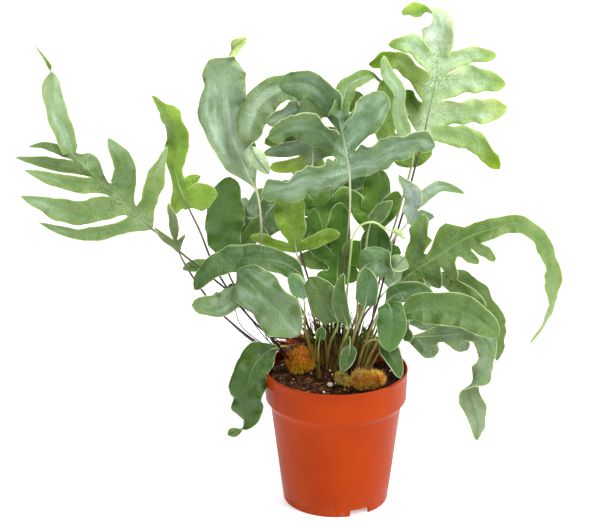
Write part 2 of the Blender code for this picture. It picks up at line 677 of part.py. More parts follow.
# ---------------------------------------------------------------- Blender objects

def material(name, colour, roughness):
    made = bpy.data.materials.new(name)
    made.use_nodes = True
    shader = made.node_tree.nodes["Principled BSDF"]
    shader.inputs["Base Color"].default_value = (*colour, 1.0)
    shader.inputs["Roughness"].default_value = roughness
    return made


def new_object(name, mesh, collection, finish=None):
    made = bpy.data.objects.new(name, mesh)
    if finish:
        mesh.materials.append(finish)
    collection.objects.link(made)
    return made


def evaluated_mesh(made):
    """The object's own mesh as its modifiers leave it."""
    graph = bpy.context.evaluated_depsgraph_get()
    return bpy.data.meshes.new_from_object(made.evaluated_get(graph))


def screw(made, steps):
    turning = made.modifiers.new("Screw", "SCREW")
    turning.steps = steps
    turning.render_steps = steps
    turning.use_merge_vertices = True
    turning.merge_threshold = 0.00001
    turning.use_smooth_shade = True


def profile_object(name, profile, steps, collection, finish):
    """A turned solid from (radius, height) pairs in millimetres, down the outer side."""
    mesh = bpy.data.meshes.new(name)
    points = [(r * MM, 0.0, z * MM) for r, z in profile]
    mesh.from_pydata(points, [(i, i + 1) for i in range(len(points) - 1)], [])
    made = new_object(name, mesh, collection, finish)
    screw(made, steps)
    return made


def wall_radius(z):
    """The outside of the pot's plain wall at height z."""
    top = RIM_RADIUS - BAND_STEP
    return BASE_RADIUS + (top - BASE_RADIUS) * z / (POT_HEIGHT - BAND_HEIGHT)


def pot_profile():
    """From the middle of the inner floor out, up the inside, over the rim and down the outside."""
    band = POT_HEIGHT - BAND_HEIGHT
    step = band - BAND_CHAMFER
    ceiling = CHANNEL_HEIGHT + WALL
    inner_foot = BASE_RADIUS - FOOT_WIDTH
    return [
        (0.0, WALL),
        (PAD_RADIUS - WALL - 1.0, WALL),
        (PAD_RADIUS - WALL, ceiling),
        (wall_radius(ceiling) - WALL, ceiling),
        (wall_radius(step) - WALL, step),
        (RIM_RADIUS - 1.0 - WALL, band + 0.6),
        (RIM_RADIUS - WALL, POT_HEIGHT - 0.5),
        (RIM_RADIUS - WALL + 0.5, POT_HEIGHT),
        (RIM_RADIUS - 0.5, POT_HEIGHT),
        (RIM_RADIUS, POT_HEIGHT - 0.6),
        (RIM_RADIUS - 1.0, band),
        (wall_radius(step), step),
        (wall_radius(4.0), 4.0),
        (wall_radius(1.2) - 0.3, 1.2),
        (BASE_RADIUS - 1.2, 0.0),
        (inner_foot, 0.0),
        (inner_foot - 0.4, CHANNEL_HEIGHT),
        (PAD_RADIUS + 0.6, CHANNEL_HEIGHT),
        (PAD_RADIUS, 0.0),
        (0.0, 0.0),
    ]


def block_mesh(name, size):
    """A closed box of the given size in metres, about its own origin."""
    mesh = bpy.data.meshes.new(name)
    shape = bmesh.new()
    bmesh.ops.create_cube(shape, size=1.0)
    bmesh.ops.scale(shape, vec=size, verts=shape.verts)
    shape.to_mesh(mesh)
    shape.free()
    return mesh


def make_pot(parts, cutters, finish):
    """The pot, with a drain notch cut through its foot ring at each third of the way round."""
    pot = profile_object("pot", pot_profile(), POT_SIDES, parts, finish)
    size = Vector((12.0, NOTCH_WIDTH, 2 * NOTCH_HEIGHT)) * MM
    reach = (BASE_RADIUS - FOOT_WIDTH / 2) * MM
    for i in range(NOTCHES):
        azimuth = math.radians(NOTCH_AZIMUTH + 360.0 * i / NOTCHES)
        cutter = new_object(f"notch_cutter_{i + 1}", block_mesh("notch_cutter", size), cutters)
        cutter.location = (reach * math.cos(azimuth), reach * math.sin(azimuth), 0.0)
        cutter.rotation_euler = (0.0, 0.0, azimuth)
        cutter.hide_render = True
        cutter.display_type = "WIRE"
        cut = pot.modifiers.new(f"Notch {i + 1}", "BOOLEAN")
        cut.operation = "DIFFERENCE"
        cut.solver = "EXACT"
        cut.object = cutter
    return pot


def make_soil(parts, finish):
    """The soil, which fills the pot a gap clear of its walls."""
    band = POT_HEIGHT - BAND_HEIGHT
    step = band - BAND_CHAMFER
    floor = CHANNEL_HEIGHT + WALL + GAP
    inside = WALL + GAP
    profile = [
        (0.0, SOIL_TOP),
        (RIM_RADIUS - 0.8 - inside, SOIL_TOP),
        (RIM_RADIUS - 1.0 - inside, band + 0.6),
        (wall_radius(step) - inside, step),
        (wall_radius(floor) - inside, floor),
        (PAD_RADIUS - WALL - GAP, floor),
        (PAD_RADIUS - inside - 1.0, WALL + GAP),
        (0.0, WALL + GAP),
    ]
    return profile_object("soil", profile, SOIL_SIDES, parts, finish)


def tube(points, collection):
    """A closed, tapering tube through (x, y, z, radius) points in millimetres."""
    curve = bpy.data.curves.new("branch", "CURVE")
    curve.dimensions = "3D"
    curve.bevel_depth = MM
    curve.bevel_resolution = 2
    curve.use_fill_caps = True
    curve.resolution_u = 3
    spline = curve.splines.new("NURBS")
    spline.points.add(len(points) - 1)
    for place, (x, y, z, radius) in zip(spline.points, points):
        place.co = (x * MM, y * MM, z * MM, 1.0)
        place.radius = radius
    spline.use_endpoint_u = True
    spline.order_u = 3
    made = bpy.data.objects.new("branch", curve)
    collection.objects.link(made)
    mesh = evaluated_mesh(made)
    weld = bmesh.new()
    weld.from_mesh(mesh)
    bmesh.ops.remove_doubles(weld, verts=weld.verts, dist=0.00001)
    weld.to_mesh(mesh)
    weld.free()
    bpy.data.objects.remove(made)
    return mesh


def branched(name, branches, parts, cutters, finish):
    """A rhizome: its branches joined into one solid."""
    whole = new_object(name, tube(branches[0], parts), parts, finish)
    for i, branch in enumerate(branches[1:]):
        joined = new_object(f"{name}_branch_{i + 1}", tube(branch, cutters), cutters)
        joined.hide_render = True
        joined.display_type = "WIRE"
        union = whole.modifiers.new(f"Branch {i + 1}", "BOOLEAN")
        union.operation = "UNION"
        union.solver = "EXACT"
        union.object = joined
    whole.data.shade_smooth()
    return whole


def rounded(start, end, radius):
    """A blunt end for a branch: its radius dies away over its own length beyond end."""
    way = unit(np.array(end, float) - np.array(start, float))
    points = []
    for share, part in ((0.0, 1.0), (0.5, 0.87), (0.85, 0.53), (1.0, 0.2)):
        points.append((*(np.array(end) + way * radius * share), radius * part))
    return points


def make_rhizomes(parts, cutters, finish):
    """The creeping stem: a clump at the back with furry ends, and a branch in front of it."""
    rest = SOIL_TOP + GAP
    front = [(-14, 26, rest + 12.5, 12), (-24, 19, rest + 11.6, 11.4)]
    clump = [
        front + rounded(front[-1][:3], (-30, 13, rest + 11.2), 11.0),
        [(-18, 31, rest + 13, 8), (-12, 30, rest + 15, 14), (0, 29, rest + 16, 14),
         (12, 28, rest + 13, 12), (22, 26, rest + 10, 9), (28, 26, rest + 8, 4)],
        [(-14, 31, rest + 16, 9), (-28, 31, rest + 17, 9.5)]
        + rounded((-28, 31, rest + 17), (-39, 29, rest + 18), 8.0),
        [(16, 26, rest + 12, 8), (34, 25, rest + 13, 7.0)]
        + rounded((34, 25, rest + 13), (47, 20, rest + 18), 5.5),
    ]
    branched("rhizome_clump", clump, parts, cutters, finish)
    front_branch = [
        rounded((10, -23, rest + 7), (5, -23, rest + 5.6), 5.2)[::-1]
        + [(12, -23, rest + 8, 7.8), (23, -22.5, rest + 9.3, 9.2)]
        + rounded((23, -22.5, rest + 9.3), (34, -20, rest + 9.0), 8.8),
    ]
    branched("rhizome_front", front_branch, parts, cutters, finish)


def make_fiddlehead(ground, parts, finish):
    """The young frond, still coiled: a bare stem that arches over and ends in a bud."""
    line = [(6, 11, 108), (7, 2, 150), (9, -9, 195), (11, -14, 222), (13, -15, 239), (20, -15, 249),
            (30, -15, 251), (38.5, -15, 246), (45.5, -15, 243)]
    line = seat(ground, line)
    bud = [(47, -15, 242.8, 1.9), (49.5, -15, 242, 2.7), (51.5, -15, 240.5, 2.4),
           (52.5, -15, 238.5, 1.5), (54, -15, 237.5, 1.7), (55, -15, 237, 0.6)]
    stem = [(*point, FIDDLEHEAD_RADIUS) for point in line]
    made = new_object("fiddlehead", tube(stem + bud, parts), parts, finish)
    made.data.shade_smooth()


def surface_under(makers):
    """A tree of the faces that the fronds stand on."""
    verts = []
    faces = []
    for made in makers:
        mesh = evaluated_mesh(made)
        offset = len(verts)
        verts += [made.matrix_world @ v.co for v in mesh.vertices]
        faces += [[offset + i for i in face.vertices] for face in mesh.polygons]
    return BVHTree.FromPolygons(verts, faces)


def seat(ground, points):
    """The stalk's points with its foot set a gap above what is under it."""
    x, y = points[0][:2]
    slope = unit(np.array(points[1], float) - np.array(points[0], float))
    tilt = math.sqrt(max(0.0, 1.0 - slope[2] ** 2))
    highest = -1e9
    for i in range(9):
        reach = 0.0 if i == 0 else STALK_RADIUS * 1.15
        dx = reach * math.cos(i * math.pi / 4)
        dy = reach * math.sin(i * math.pi / 4)
        start = Vector(((x + dx) * MM, (y + dy) * MM, 0.3))
        hit = ground.ray_cast(start, Vector((0.0, 0.0, -1.0)))[0]
        if hit:
            highest = max(highest, hit.z / MM)
    foot = (x, y, highest + GAP + STALK_RADIUS * tilt)
    return [foot] + list(points[1:])


def make_frond(listed, ground, collection, finish):
    """One frond as a solid: its sheet, thickened by the share at each vertex."""
    listed = dict(listed, points=seat(ground, listed["points"]))
    sheet = frond_sheet(listed)
    mesh = bpy.data.meshes.new(listed["name"])
    mesh.from_pydata([tuple(point * MM) for point in sheet.points], [], sheet.faces)
    made = new_object(listed["name"], mesh, collection, finish)
    shares = made.vertex_groups.new(name="thickness")
    for i, share in enumerate(sheet.shares):
        shares.add([i], share, "REPLACE")
    shell = made.modifiers.new("Solidify", "SOLIDIFY")
    shell.thickness = STALK_THICKNESS * MM
    shell.offset = 0.0
    shell.use_rim = True
    shell.vertex_group = shares.name
    shell.thickness_vertex_group = 0.05
    mesh.shade_smooth()
    return made


def main():
    for old in list(bpy.data.objects):
        bpy.data.objects.remove(old)
    scene = bpy.context.scene.collection
    parts = bpy.data.collections.new("blue_star_fern")
    cutters = bpy.data.collections.new("cutters")
    scene.children.link(parts)
    scene.children.link(cutters)
    terracotta = material("pot_plastic", (0.50, 0.075, 0.022), 0.42)
    earth = material("soil", (0.035, 0.020, 0.012), 0.95)
    fur = material("rhizome_fur", (0.36, 0.16, 0.03), 0.9)
    leaf = material("frond", (0.12, 0.26, 0.10), 0.5)
    make_pot(parts, cutters, terracotta)
    make_soil(parts, earth)
    make_rhizomes(parts, cutters, fur)
    bpy.context.view_layer.update()
    grounds = [parts.objects[name] for name in ("soil", "rhizome_clump", "rhizome_front")]
    ground = surface_under(grounds)
    make_fiddlehead(ground, parts, leaf)
    for listed in list_fronds():
        make_frond(listed, ground, parts, leaf)


if __name__ == "__main__":
    main()
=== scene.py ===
"""A blue star fern in a plastic nursery pot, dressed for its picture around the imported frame.

Metres, +Z up, the pot's underside at the origin and the plant's front towards -Y. Lengths are in
millimetres until MM brings them to metres; the textures, the lights and the camera are in metres.
Each frond is one sheet: a strip runs up the lobed rachis, side lobes grow from the strip's edges
and an end lobe closes it. The sheet becomes a thin shell, and tubes for the stalk, the rachis and
the lobes' midribs are added to it.
"""

import json
import math

import bpy
import bmesh
import numpy as np
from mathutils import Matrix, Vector, noise
from mathutils.bvhtree import BVHTree

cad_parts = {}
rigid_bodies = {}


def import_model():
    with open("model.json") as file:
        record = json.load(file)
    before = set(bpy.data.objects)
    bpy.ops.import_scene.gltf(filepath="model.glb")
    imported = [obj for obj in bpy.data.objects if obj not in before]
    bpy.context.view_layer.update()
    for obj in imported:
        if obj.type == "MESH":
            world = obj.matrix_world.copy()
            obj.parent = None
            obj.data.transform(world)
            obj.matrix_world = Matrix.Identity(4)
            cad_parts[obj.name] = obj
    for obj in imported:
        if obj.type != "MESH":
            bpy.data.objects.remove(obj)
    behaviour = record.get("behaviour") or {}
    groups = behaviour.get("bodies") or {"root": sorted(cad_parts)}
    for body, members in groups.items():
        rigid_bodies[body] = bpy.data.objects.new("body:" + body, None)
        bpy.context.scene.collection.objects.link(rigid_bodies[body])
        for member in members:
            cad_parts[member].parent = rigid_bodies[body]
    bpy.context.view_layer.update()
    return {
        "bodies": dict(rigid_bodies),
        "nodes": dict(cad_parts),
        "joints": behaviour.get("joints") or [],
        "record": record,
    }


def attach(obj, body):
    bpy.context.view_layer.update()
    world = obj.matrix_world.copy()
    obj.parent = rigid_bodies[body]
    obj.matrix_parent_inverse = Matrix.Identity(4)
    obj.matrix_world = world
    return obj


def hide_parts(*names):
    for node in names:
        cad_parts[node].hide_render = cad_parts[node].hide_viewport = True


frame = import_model()

MM = 0.001
GAP = 0.3                  # between a stalk's foot and what it stands on, as in the solids

# pot, as in the solids
POT_HEIGHT = 118.0
RIM_RADIUS = 60.0
BASE_RADIUS = 44.0
WALL = 1.6
BAND_HEIGHT = 27.0
BAND_STEP = 4.6
BAND_CHAMFER = 6.0
PAD_RADIUS = 26.0
CHANNEL_HEIGHT = 6.5
FOOT_WIDTH = 2.6
POT_SIDES = 160
NOTCHES = 3
NOTCH_WIDTH = 18.0
NOTCH_HEIGHT = 5.8
NOTCH_AZIMUTH = -63.0

SOIL_TOP = 107.0

# fronds
STALK_RADIUS = 0.95        # at the blade's start; the rachis thins to TIP_RADIUS
TIP_RADIUS = 0.26
LOBE_RIB_RADIUS = 0.3
BLADE = 0.5                # thickness of the blade
STEP = 2.2                 # between the rows of a blade
COLUMNS = 10               # rows of the rachis for each lobe
WING_ROWS = 5              # rows of a lobe within the strip beside the rachis
SHINGLE = math.radians(13.0)      # how far the lobes tilt, so that neighbours can overlap


# ---- curves

def unit(v):
    return v / max(np.linalg.norm(v), 1e-9)


def smooth(low, high, x):
    t = np.clip((x - low) / (high - low), 0.0, 1.0)
    return t * t * (3.0 - 2.0 * t)


def turned(v, axis, angle):
    """v, square to axis, turned about it."""
    return v * math.cos(angle) + np.cross(axis, v) * math.sin(angle)


class Path:
    """A smooth curve with a normal that doesn't spin, read by its arc length in millimetres."""

    def __init__(self, points, normal, start=0):
        knots = np.array(points, float)
        dense = [knots[0]]
        marks = [0]
        for i in range(len(knots) - 1):
            before = knots[i - 1] if i else 2 * knots[0] - knots[1]
            after = knots[i + 2] if i + 2 < len(knots) else 2 * knots[-1] - knots[-2]
            dense += list(self.segment(before, knots[i], knots[i + 1], after))
            marks.append(len(dense) - 1)
        self.points = np.array(dense)
        steps = np.linalg.norm(np.diff(self.points, axis=0), axis=1)
        self.arc = np.concatenate([[0.0], np.cumsum(steps)])
        self.length = self.arc[-1]
        self.knots = self.arc[marks]
        slope = np.gradient(self.points, self.arc, axis=0)
        self.slopes = slope / np.linalg.norm(slope, axis=1)[:, None]
        self.normals = self.carried(np.array(normal, float), marks[start])

    @staticmethod
    def segment(p0, p1, p2, p3, count=14):
        """A centripetal Catmull-Rom stretch from p1 to p2, without p1."""
        gaps = [max(np.linalg.norm(b - a), 1e-6) ** 0.5 for a, b in ((p0, p1), (p1, p2), (p2, p3))]
        t0, t1, t2, t3 = np.concatenate([[0.0], np.cumsum(gaps)])
        t = np.linspace(t1, t2, count + 1)[1:, None]

        def between(a, b, low, high):
            return (high - t) / (high - low) * a + (t - low) / (high - low) * b

        a1, a2, a3 = between(p0, p1, t0, t1), between(p1, p2, t1, t2), between(p2, p3, t2, t3)
        return between(between(a1, a2, t0, t2), between(a2, a3, t1, t3), t1, t2)

    def carried(self, normal, start):
        """The normal at every point, carried both ways from one of them."""
        normals = np.zeros_like(self.points)
        slope = self.slopes[start]
        normals[start] = unit(normal - slope * normal.dot(slope))
        for step in (1, -1):
            stop = len(self.points) if step > 0 else -1
            for i in range(start + step, stop, step):
                slope = self.slopes[i]
                last = normals[i - step]
                normals[i] = unit(last - slope * last.dot(slope))
        return normals

    def at(self, s):
        """Point, direction and normal at arc length s."""
        parts = [[np.interp(s, self.arc, row[:, k]) for k in range(3)]
                 for row in (self.points, self.slopes, self.normals)]
        point, slope, normal = (np.array(part) for part in parts)
        slope = unit(slope)
        return point, slope, unit(normal - slope * normal.dot(slope))


def lobe_path(base, part, normal, outward):
    """The midrib of a side lobe: out of the rachis within the blade, then towards its tip."""
    tip = part["tip"]
    if part["face"]:
        normal = unit(np.array(part["face"], float))
    if part["via"]:
        return Path([base, *part["via"], tip], normal)
    reach = np.linalg.norm(tip - base)
    aim = (tip - base) / reach
    leave = unit(unit(aim - normal * aim.dot(normal)) + 0.35 * outward)
    arrive = unit(aim + part["droop"] * np.array([0.0, 0.0, -1.0]))
    hooks = [base, base + leave * 0.4 * reach, tip - arrive * 0.35 * reach, tip]
    points = []
    for t in np.linspace(0.0, 1.0, 9):
        weights = [(1 - t) ** 3, 3 * t * (1 - t) ** 2, 3 * t * t * (1 - t), t ** 3]
        points.append(sum(w * p for w, p in zip(weights, hooks)))
    return Path(points, normal)


def rows_along(start, end, step, flip):
    """Distances from start to end, closer together round a half turn."""
    fine = np.linspace(start, end, 120)
    density = np.ones_like(fine)
    if flip:
        density += 1.6 * np.exp(-((fine - flip) / 10.0) ** 2)
    total = np.concatenate([[0.0], np.cumsum((density[1:] + density[:-1]) / 2)])
    span = (end - start) * density.mean()
    count = max(2, round(span / step))
    return np.interp(np.linspace(0, total[-1], count + 1), total, fine)


# ---- the sheet of a frond

# a blade's waves, as shares of its width
OUTLINE_WAVE = 0.12
OUTLINE_FINE = 0.014
CHANNEL = 0.10
WAVE = 0.24
CRIMP = 0.05
SWELL = 0.05


def half_width(part, t):
    """Half a lobe's width, t being the share of its length."""
    neck = part["neck"]
    swell = neck + (1.0 - neck) * math.sin(0.5 * math.pi * min(t / 0.55, 1.0))
    left = max(1.0 - t ** part["blunt"], 0.0)
    return 0.5 * part["width"] * swell * left ** (0.45 + 0.9 / part["blunt"])


def pinch(end, t, length):
    """The share of an end lobe's width that is left round its half turn and past it."""
    flip = end["flip"]
    if not flip:
        return 1.0
    at_turn = 1.0 - 0.45 * math.exp(-((t - flip) * length / 9.0) ** 2)
    return at_turn * (1.0 - (1.0 - end["after"]) * smooth(flip - 0.05, flip + 0.1, t))


def half_turn(end, t, length):
    """How far an end lobe has turned over at share t of its length."""
    if not end["flip"]:
        return 0.0
    reach = 12.0 / length
    return math.pi * smooth(end["flip"] - reach, end["flip"] + reach, t)


def uneven(distance, span, seed, side):
    """A wave about span long that never quite repeats, between about -1 and 1."""
    return 2.0 * noise.noise(Vector((2.0 * distance / span, 7.3 * seed + 0.5, 3.9 * side)))


def wobble(side, distance, seed, wavy):
    """The outline's own waves, different on each margin."""
    wave = OUTLINE_WAVE * uneven(distance, 31.0, seed + 0.3, side)
    fine = OUTLINE_FINE * uneven(distance, 9.0, seed + 0.7, side)
    return 1.0 + wavy * (wave + fine) * smooth(3.0, 14.0, distance)


def ripple(across, distance, width, seed, wavy):
    """How far the blade lifts off its plane: a shallow channel, uneven waves along the margins, a
    little crimping at the margins themselves, and slow swells of the whole blade."""
    side = 1.0 if across > 0 else -1.0
    reach = abs(across)
    grown = smooth(4.0, 16.0, distance)
    wave = uneven(distance, 25.0, seed, side)
    crimp = uneven(distance, 8.0, seed + 0.4, side)
    swell = uneven(distance, 34.0, seed + 0.2, 0.0)
    lift = CHANNEL * width * reach
    lift += wavy * (WAVE * reach ** 1.6 * wave + CRIMP * reach ** 3 * crimp) * width * grown
    return lift + SWELL * width * swell * grown * (1.0 - reach ** 2)


class Sheet:
    """An open mesh. Each vertex keeps where it is on its lobe: millimetres from the midrib, along
    it and in from the margin; the share of the lobe's length; and which listed lobe it is on."""

    def __init__(self):
        self.points = []
        self.places = []
        self.shares = []
        self.lobes = []
        self.lobe = None
        self.faces = []
        self.ribs = []

    def add(self, point, rib, along, margin, share):
        self.points.append(point)
        self.places.append((rib, along, margin))
        self.shares.append(share)
        self.lobes.append(self.lobe)
        return len(self.points) - 1

    def grid(self, rows, side):
        """Faces over rows of vertex numbers, which step outwards on the given side."""
        for near, far in zip(rows, rows[1:]):
            for a in range(len(near) - 1):
                ring = [near[a], near[a + 1], far[a + 1], far[a]]
                if side < 0:
                    ring.reverse()
                ring = [v for i, v in enumerate(ring) if v != ring[i - 1]]
                if len(set(ring)) > 2:
                    self.faces.append(ring)


def bounds(lobes, rows):
    """The rows of the rachis between which each lobe on one side grows."""
    if not lobes:
        return [0]
    middles = [(a["s"] + b["s"]) / 2 for a, b in zip(lobes, lobes[1:])]
    edges = [0] + [round(middle * rows) for middle in middles] + [rows]
    least = max(1, rows // (2 * len(lobes)))
    for i in range(1, len(lobes)):
        edges[i] = max(edges[i], edges[i - 1] + least)
    for i in range(len(lobes) - 1, 0, -1):
        edges[i] = min(edges[i], edges[i + 1] - least)
    return edges


def frond_axis(frond):
    """The line through all the frond's points, with the arc lengths where its blade starts and
    where its lobed part ends."""
    axis = Path(frond["points"], frond["face"], frond["facing"])
    return axis, axis.knots[frond["first"]], axis.knots[frond["last"]]


def frond_sheet(frond):
    """The blade's open sheet, in millimetres."""
    sheet = Sheet()
    axis, blade, lobed = frond_axis(frond)
    end_length = axis.length - lobed
    sides = sort_lobes(frond, axis, blade, lobed)
    most = max(len(sides[-1]), len(sides[1]))
    rachis_rows = COLUMNS * most
    flip_at = lobed + frond["flip"] * end_length if frond["flip"] else 0.0

    levels = [blade]
    if most:
        levels = list(np.linspace(blade, lobed, rachis_rows + 1))
    levels += list(rows_along(levels[-1], axis.length, STEP, flip_at))[1:]
    middle = []
    edge = {-1: [], 1: []}
    frames = []                # point, slope, normal, across, arc length, share of the end lobe
    for s in levels:
        point, slope, normal = axis.at(s)
        t = max(0.0, (s - lobed) / end_length)
        normal = turned(normal, slope, half_turn(frond, t, end_length))
        across = np.cross(slope, normal)
        frames.append((point, slope, normal, across, s, t))
        along = max(0.0, s - lobed)
        if s is levels[-1]:
            tip = sheet.add(point, 0.0, along, 0.0, 1.0)
            middle.append(tip)
            edge[-1].append(tip)
            edge[1].append(tip)
            continue
        radius = stalk_radius(s, blade, axis.length)
        margin = frond["wing"] if t == 0.0 else half_width(frond, t)
        middle.append(sheet.add(point, 0.0, along, margin, t))
        for side in (-1, 1):
            place = point + across * radius * side
            edge[side].append(sheet.add(place, radius * side, along, margin, t))

    for side in (-1, 1):
        sheet.grid([middle, edge[side]], -side)
        lobes = sides[side]
        edges = bounds(lobes, rachis_rows)
        shared = None
        for i, part in enumerate(lobes):
            base = edge[side][edges[i]:edges[i + 1] + 1]
            shared = add_lobe(sheet, part, base, frames[(edges[i] + edges[i + 1]) // 2], side,
                              shared, frond, frond["seed"] + i)
        add_end(sheet, frond, edge[side], frames, edges[-1], side, shared)
    return sheet


def stalk_radius(s, blade, length):
    """Thick up to the blade, then soon little more than the blade itself."""
    in_blade = smooth(blade - 12.0, blade + 0.55 * (length - blade), s)
    return STALK_RADIUS + (TIP_RADIUS - STALK_RADIUS) * in_blade ** 0.7


def sort_lobes(frond, axis, blade, lobed):
    """The lobes on each side of the rachis, from the lowest up."""
    sides = {-1: [], 1: []}
    for i, part in enumerate(frond["lobes"]):
        point, slope, normal = axis.at(blade + part["s"] * (lobed - blade))
        across = np.cross(slope, normal)
        if "reach" in part:
            lean = math.radians(PINNATE_LEAN)
            ahead = slope * math.cos(lean) + across * math.sin(lean) * part["side"]
            part = dict(part, tip=point + part["reach"] * ahead)
        side = 1 if (part["tip"] - point).dot(across) > 0 else -1
        sides[side].append(dict(part, place=i))
    for side in sides:
        sides[side].sort(key=lambda part: part["s"])
    return sides


def add_lobe(sheet, part, base, frame, side, shared, frond, seed):
    """One side lobe on its stretch of the strip's edge. Gives back the vertices of its far edge
    that the next lobe shares."""
    point, slope, normal, across = frame[:4]
    wing, wavy = frond["wing"], frond["wavy"]
    path = lobe_path(point, part, normal, across * side)
    length = path.length
    sheet.lobe = part["place"]
    outer = rows_along(wing, length, STEP, 0.0)[1:]
    distances = [wing * k / WING_ROWS for k in range(1, WING_ROWS + 1)] + list(outer)
    rows = [list(base)]
    ends = []
    rib = [point]
    for k, distance in enumerate(distances):
        t = distance / length
        if distance >= length - 1e-6:
            tip = sheet.add(part["tip"], 0.0, length, 0.0, 1.0)
            rows.append([tip] * len(base))
            break
        at, along, up = path.at(distance)
        up = turned(up, along, side * SHINGLE * smooth(0.0, 3.0 * wing, distance))
        wide = np.cross(up, along) * side
        half = half_width(part, t)
        grown = smooth(0.0, 2.4 * wing, distance)
        row = []
        for a, foot in enumerate(base):
            c = 2.0 * a / (len(base) - 1) - 1.0
            lift = ripple(c, distance, 2 * half, seed, wavy)
            out = half * c * wobble(1.0 if c > 0 else -1.0, distance, seed, wavy)
            free = at + wide * out + up * lift
            held = sheet.points[foot] + path.slopes[0] * distance
            place = held + (free - held) * grown
            margin = half * (1.0 - abs(c)) + max(0.0, wing - distance)
            if k < WING_ROWS and a == 0 and shared:
                corner = shared[k]
                sheet.points[corner] = (sheet.points[corner] + place) / 2
                row.append(corner)
            else:
                row.append(sheet.add(place, half * c, distance, margin, t))
        rib.append((sheet.points[row[len(row) // 2]] + sheet.points[row[(len(row) - 1) // 2]]) / 2)
        if k < WING_ROWS:
            ends.append(row[-1])
        rows.append(row)
    sheet.grid(rows, -side)
    sheet.ribs.append(rib)
    return ends


def add_end(sheet, frond, edge, frames, start, side, shared):
    """Half of the end lobe, from row start of the strip to its tip."""
    sheet.lobe = "end"
    columns = []
    begin = frames[start][4]
    length = frames[-1][4] - begin
    for j in range(start, len(frames)):
        point, slope, normal, across, s, t = frames[j]
        if j == len(frames) - 1 or (j == start and shared is None):
            columns.append([edge[j]] * (WING_ROWS + 1))
            continue
        share = (s - begin) / length
        half = half_width(frond, share) * pinch(frond, share, length)
        start_half = frond["wing"] if shared else STALK_RADIUS
        half = start_half + (half - start_half) * smooth(0.0, 0.22, share)
        half *= wobble(side, s - begin, frond["seed"], frond["wavy"])
        inner = np.linalg.norm(sheet.points[edge[j]] - point)
        half = max(half, inner + 0.3)
        row = [edge[j]]
        for i in range(1, WING_ROWS + 1):
            reach = inner + (half - inner) * i / WING_ROWS
            lift = ripple(side * reach / half, s - begin, 2 * half, frond["seed"], frond["wavy"])
            place = point + across * side * reach + normal * lift
            if j == start:
                corner = shared[i - 1]
                sheet.points[corner] = (sheet.points[corner] + place) / 2
                row.append(corner)
            else:
                row.append(sheet.add(place, reach * side, s - begin, half - reach, share))
        columns.append(row)
    sheet.grid([list(column) for column in zip(*columns)], -side)


# ---- the fronds

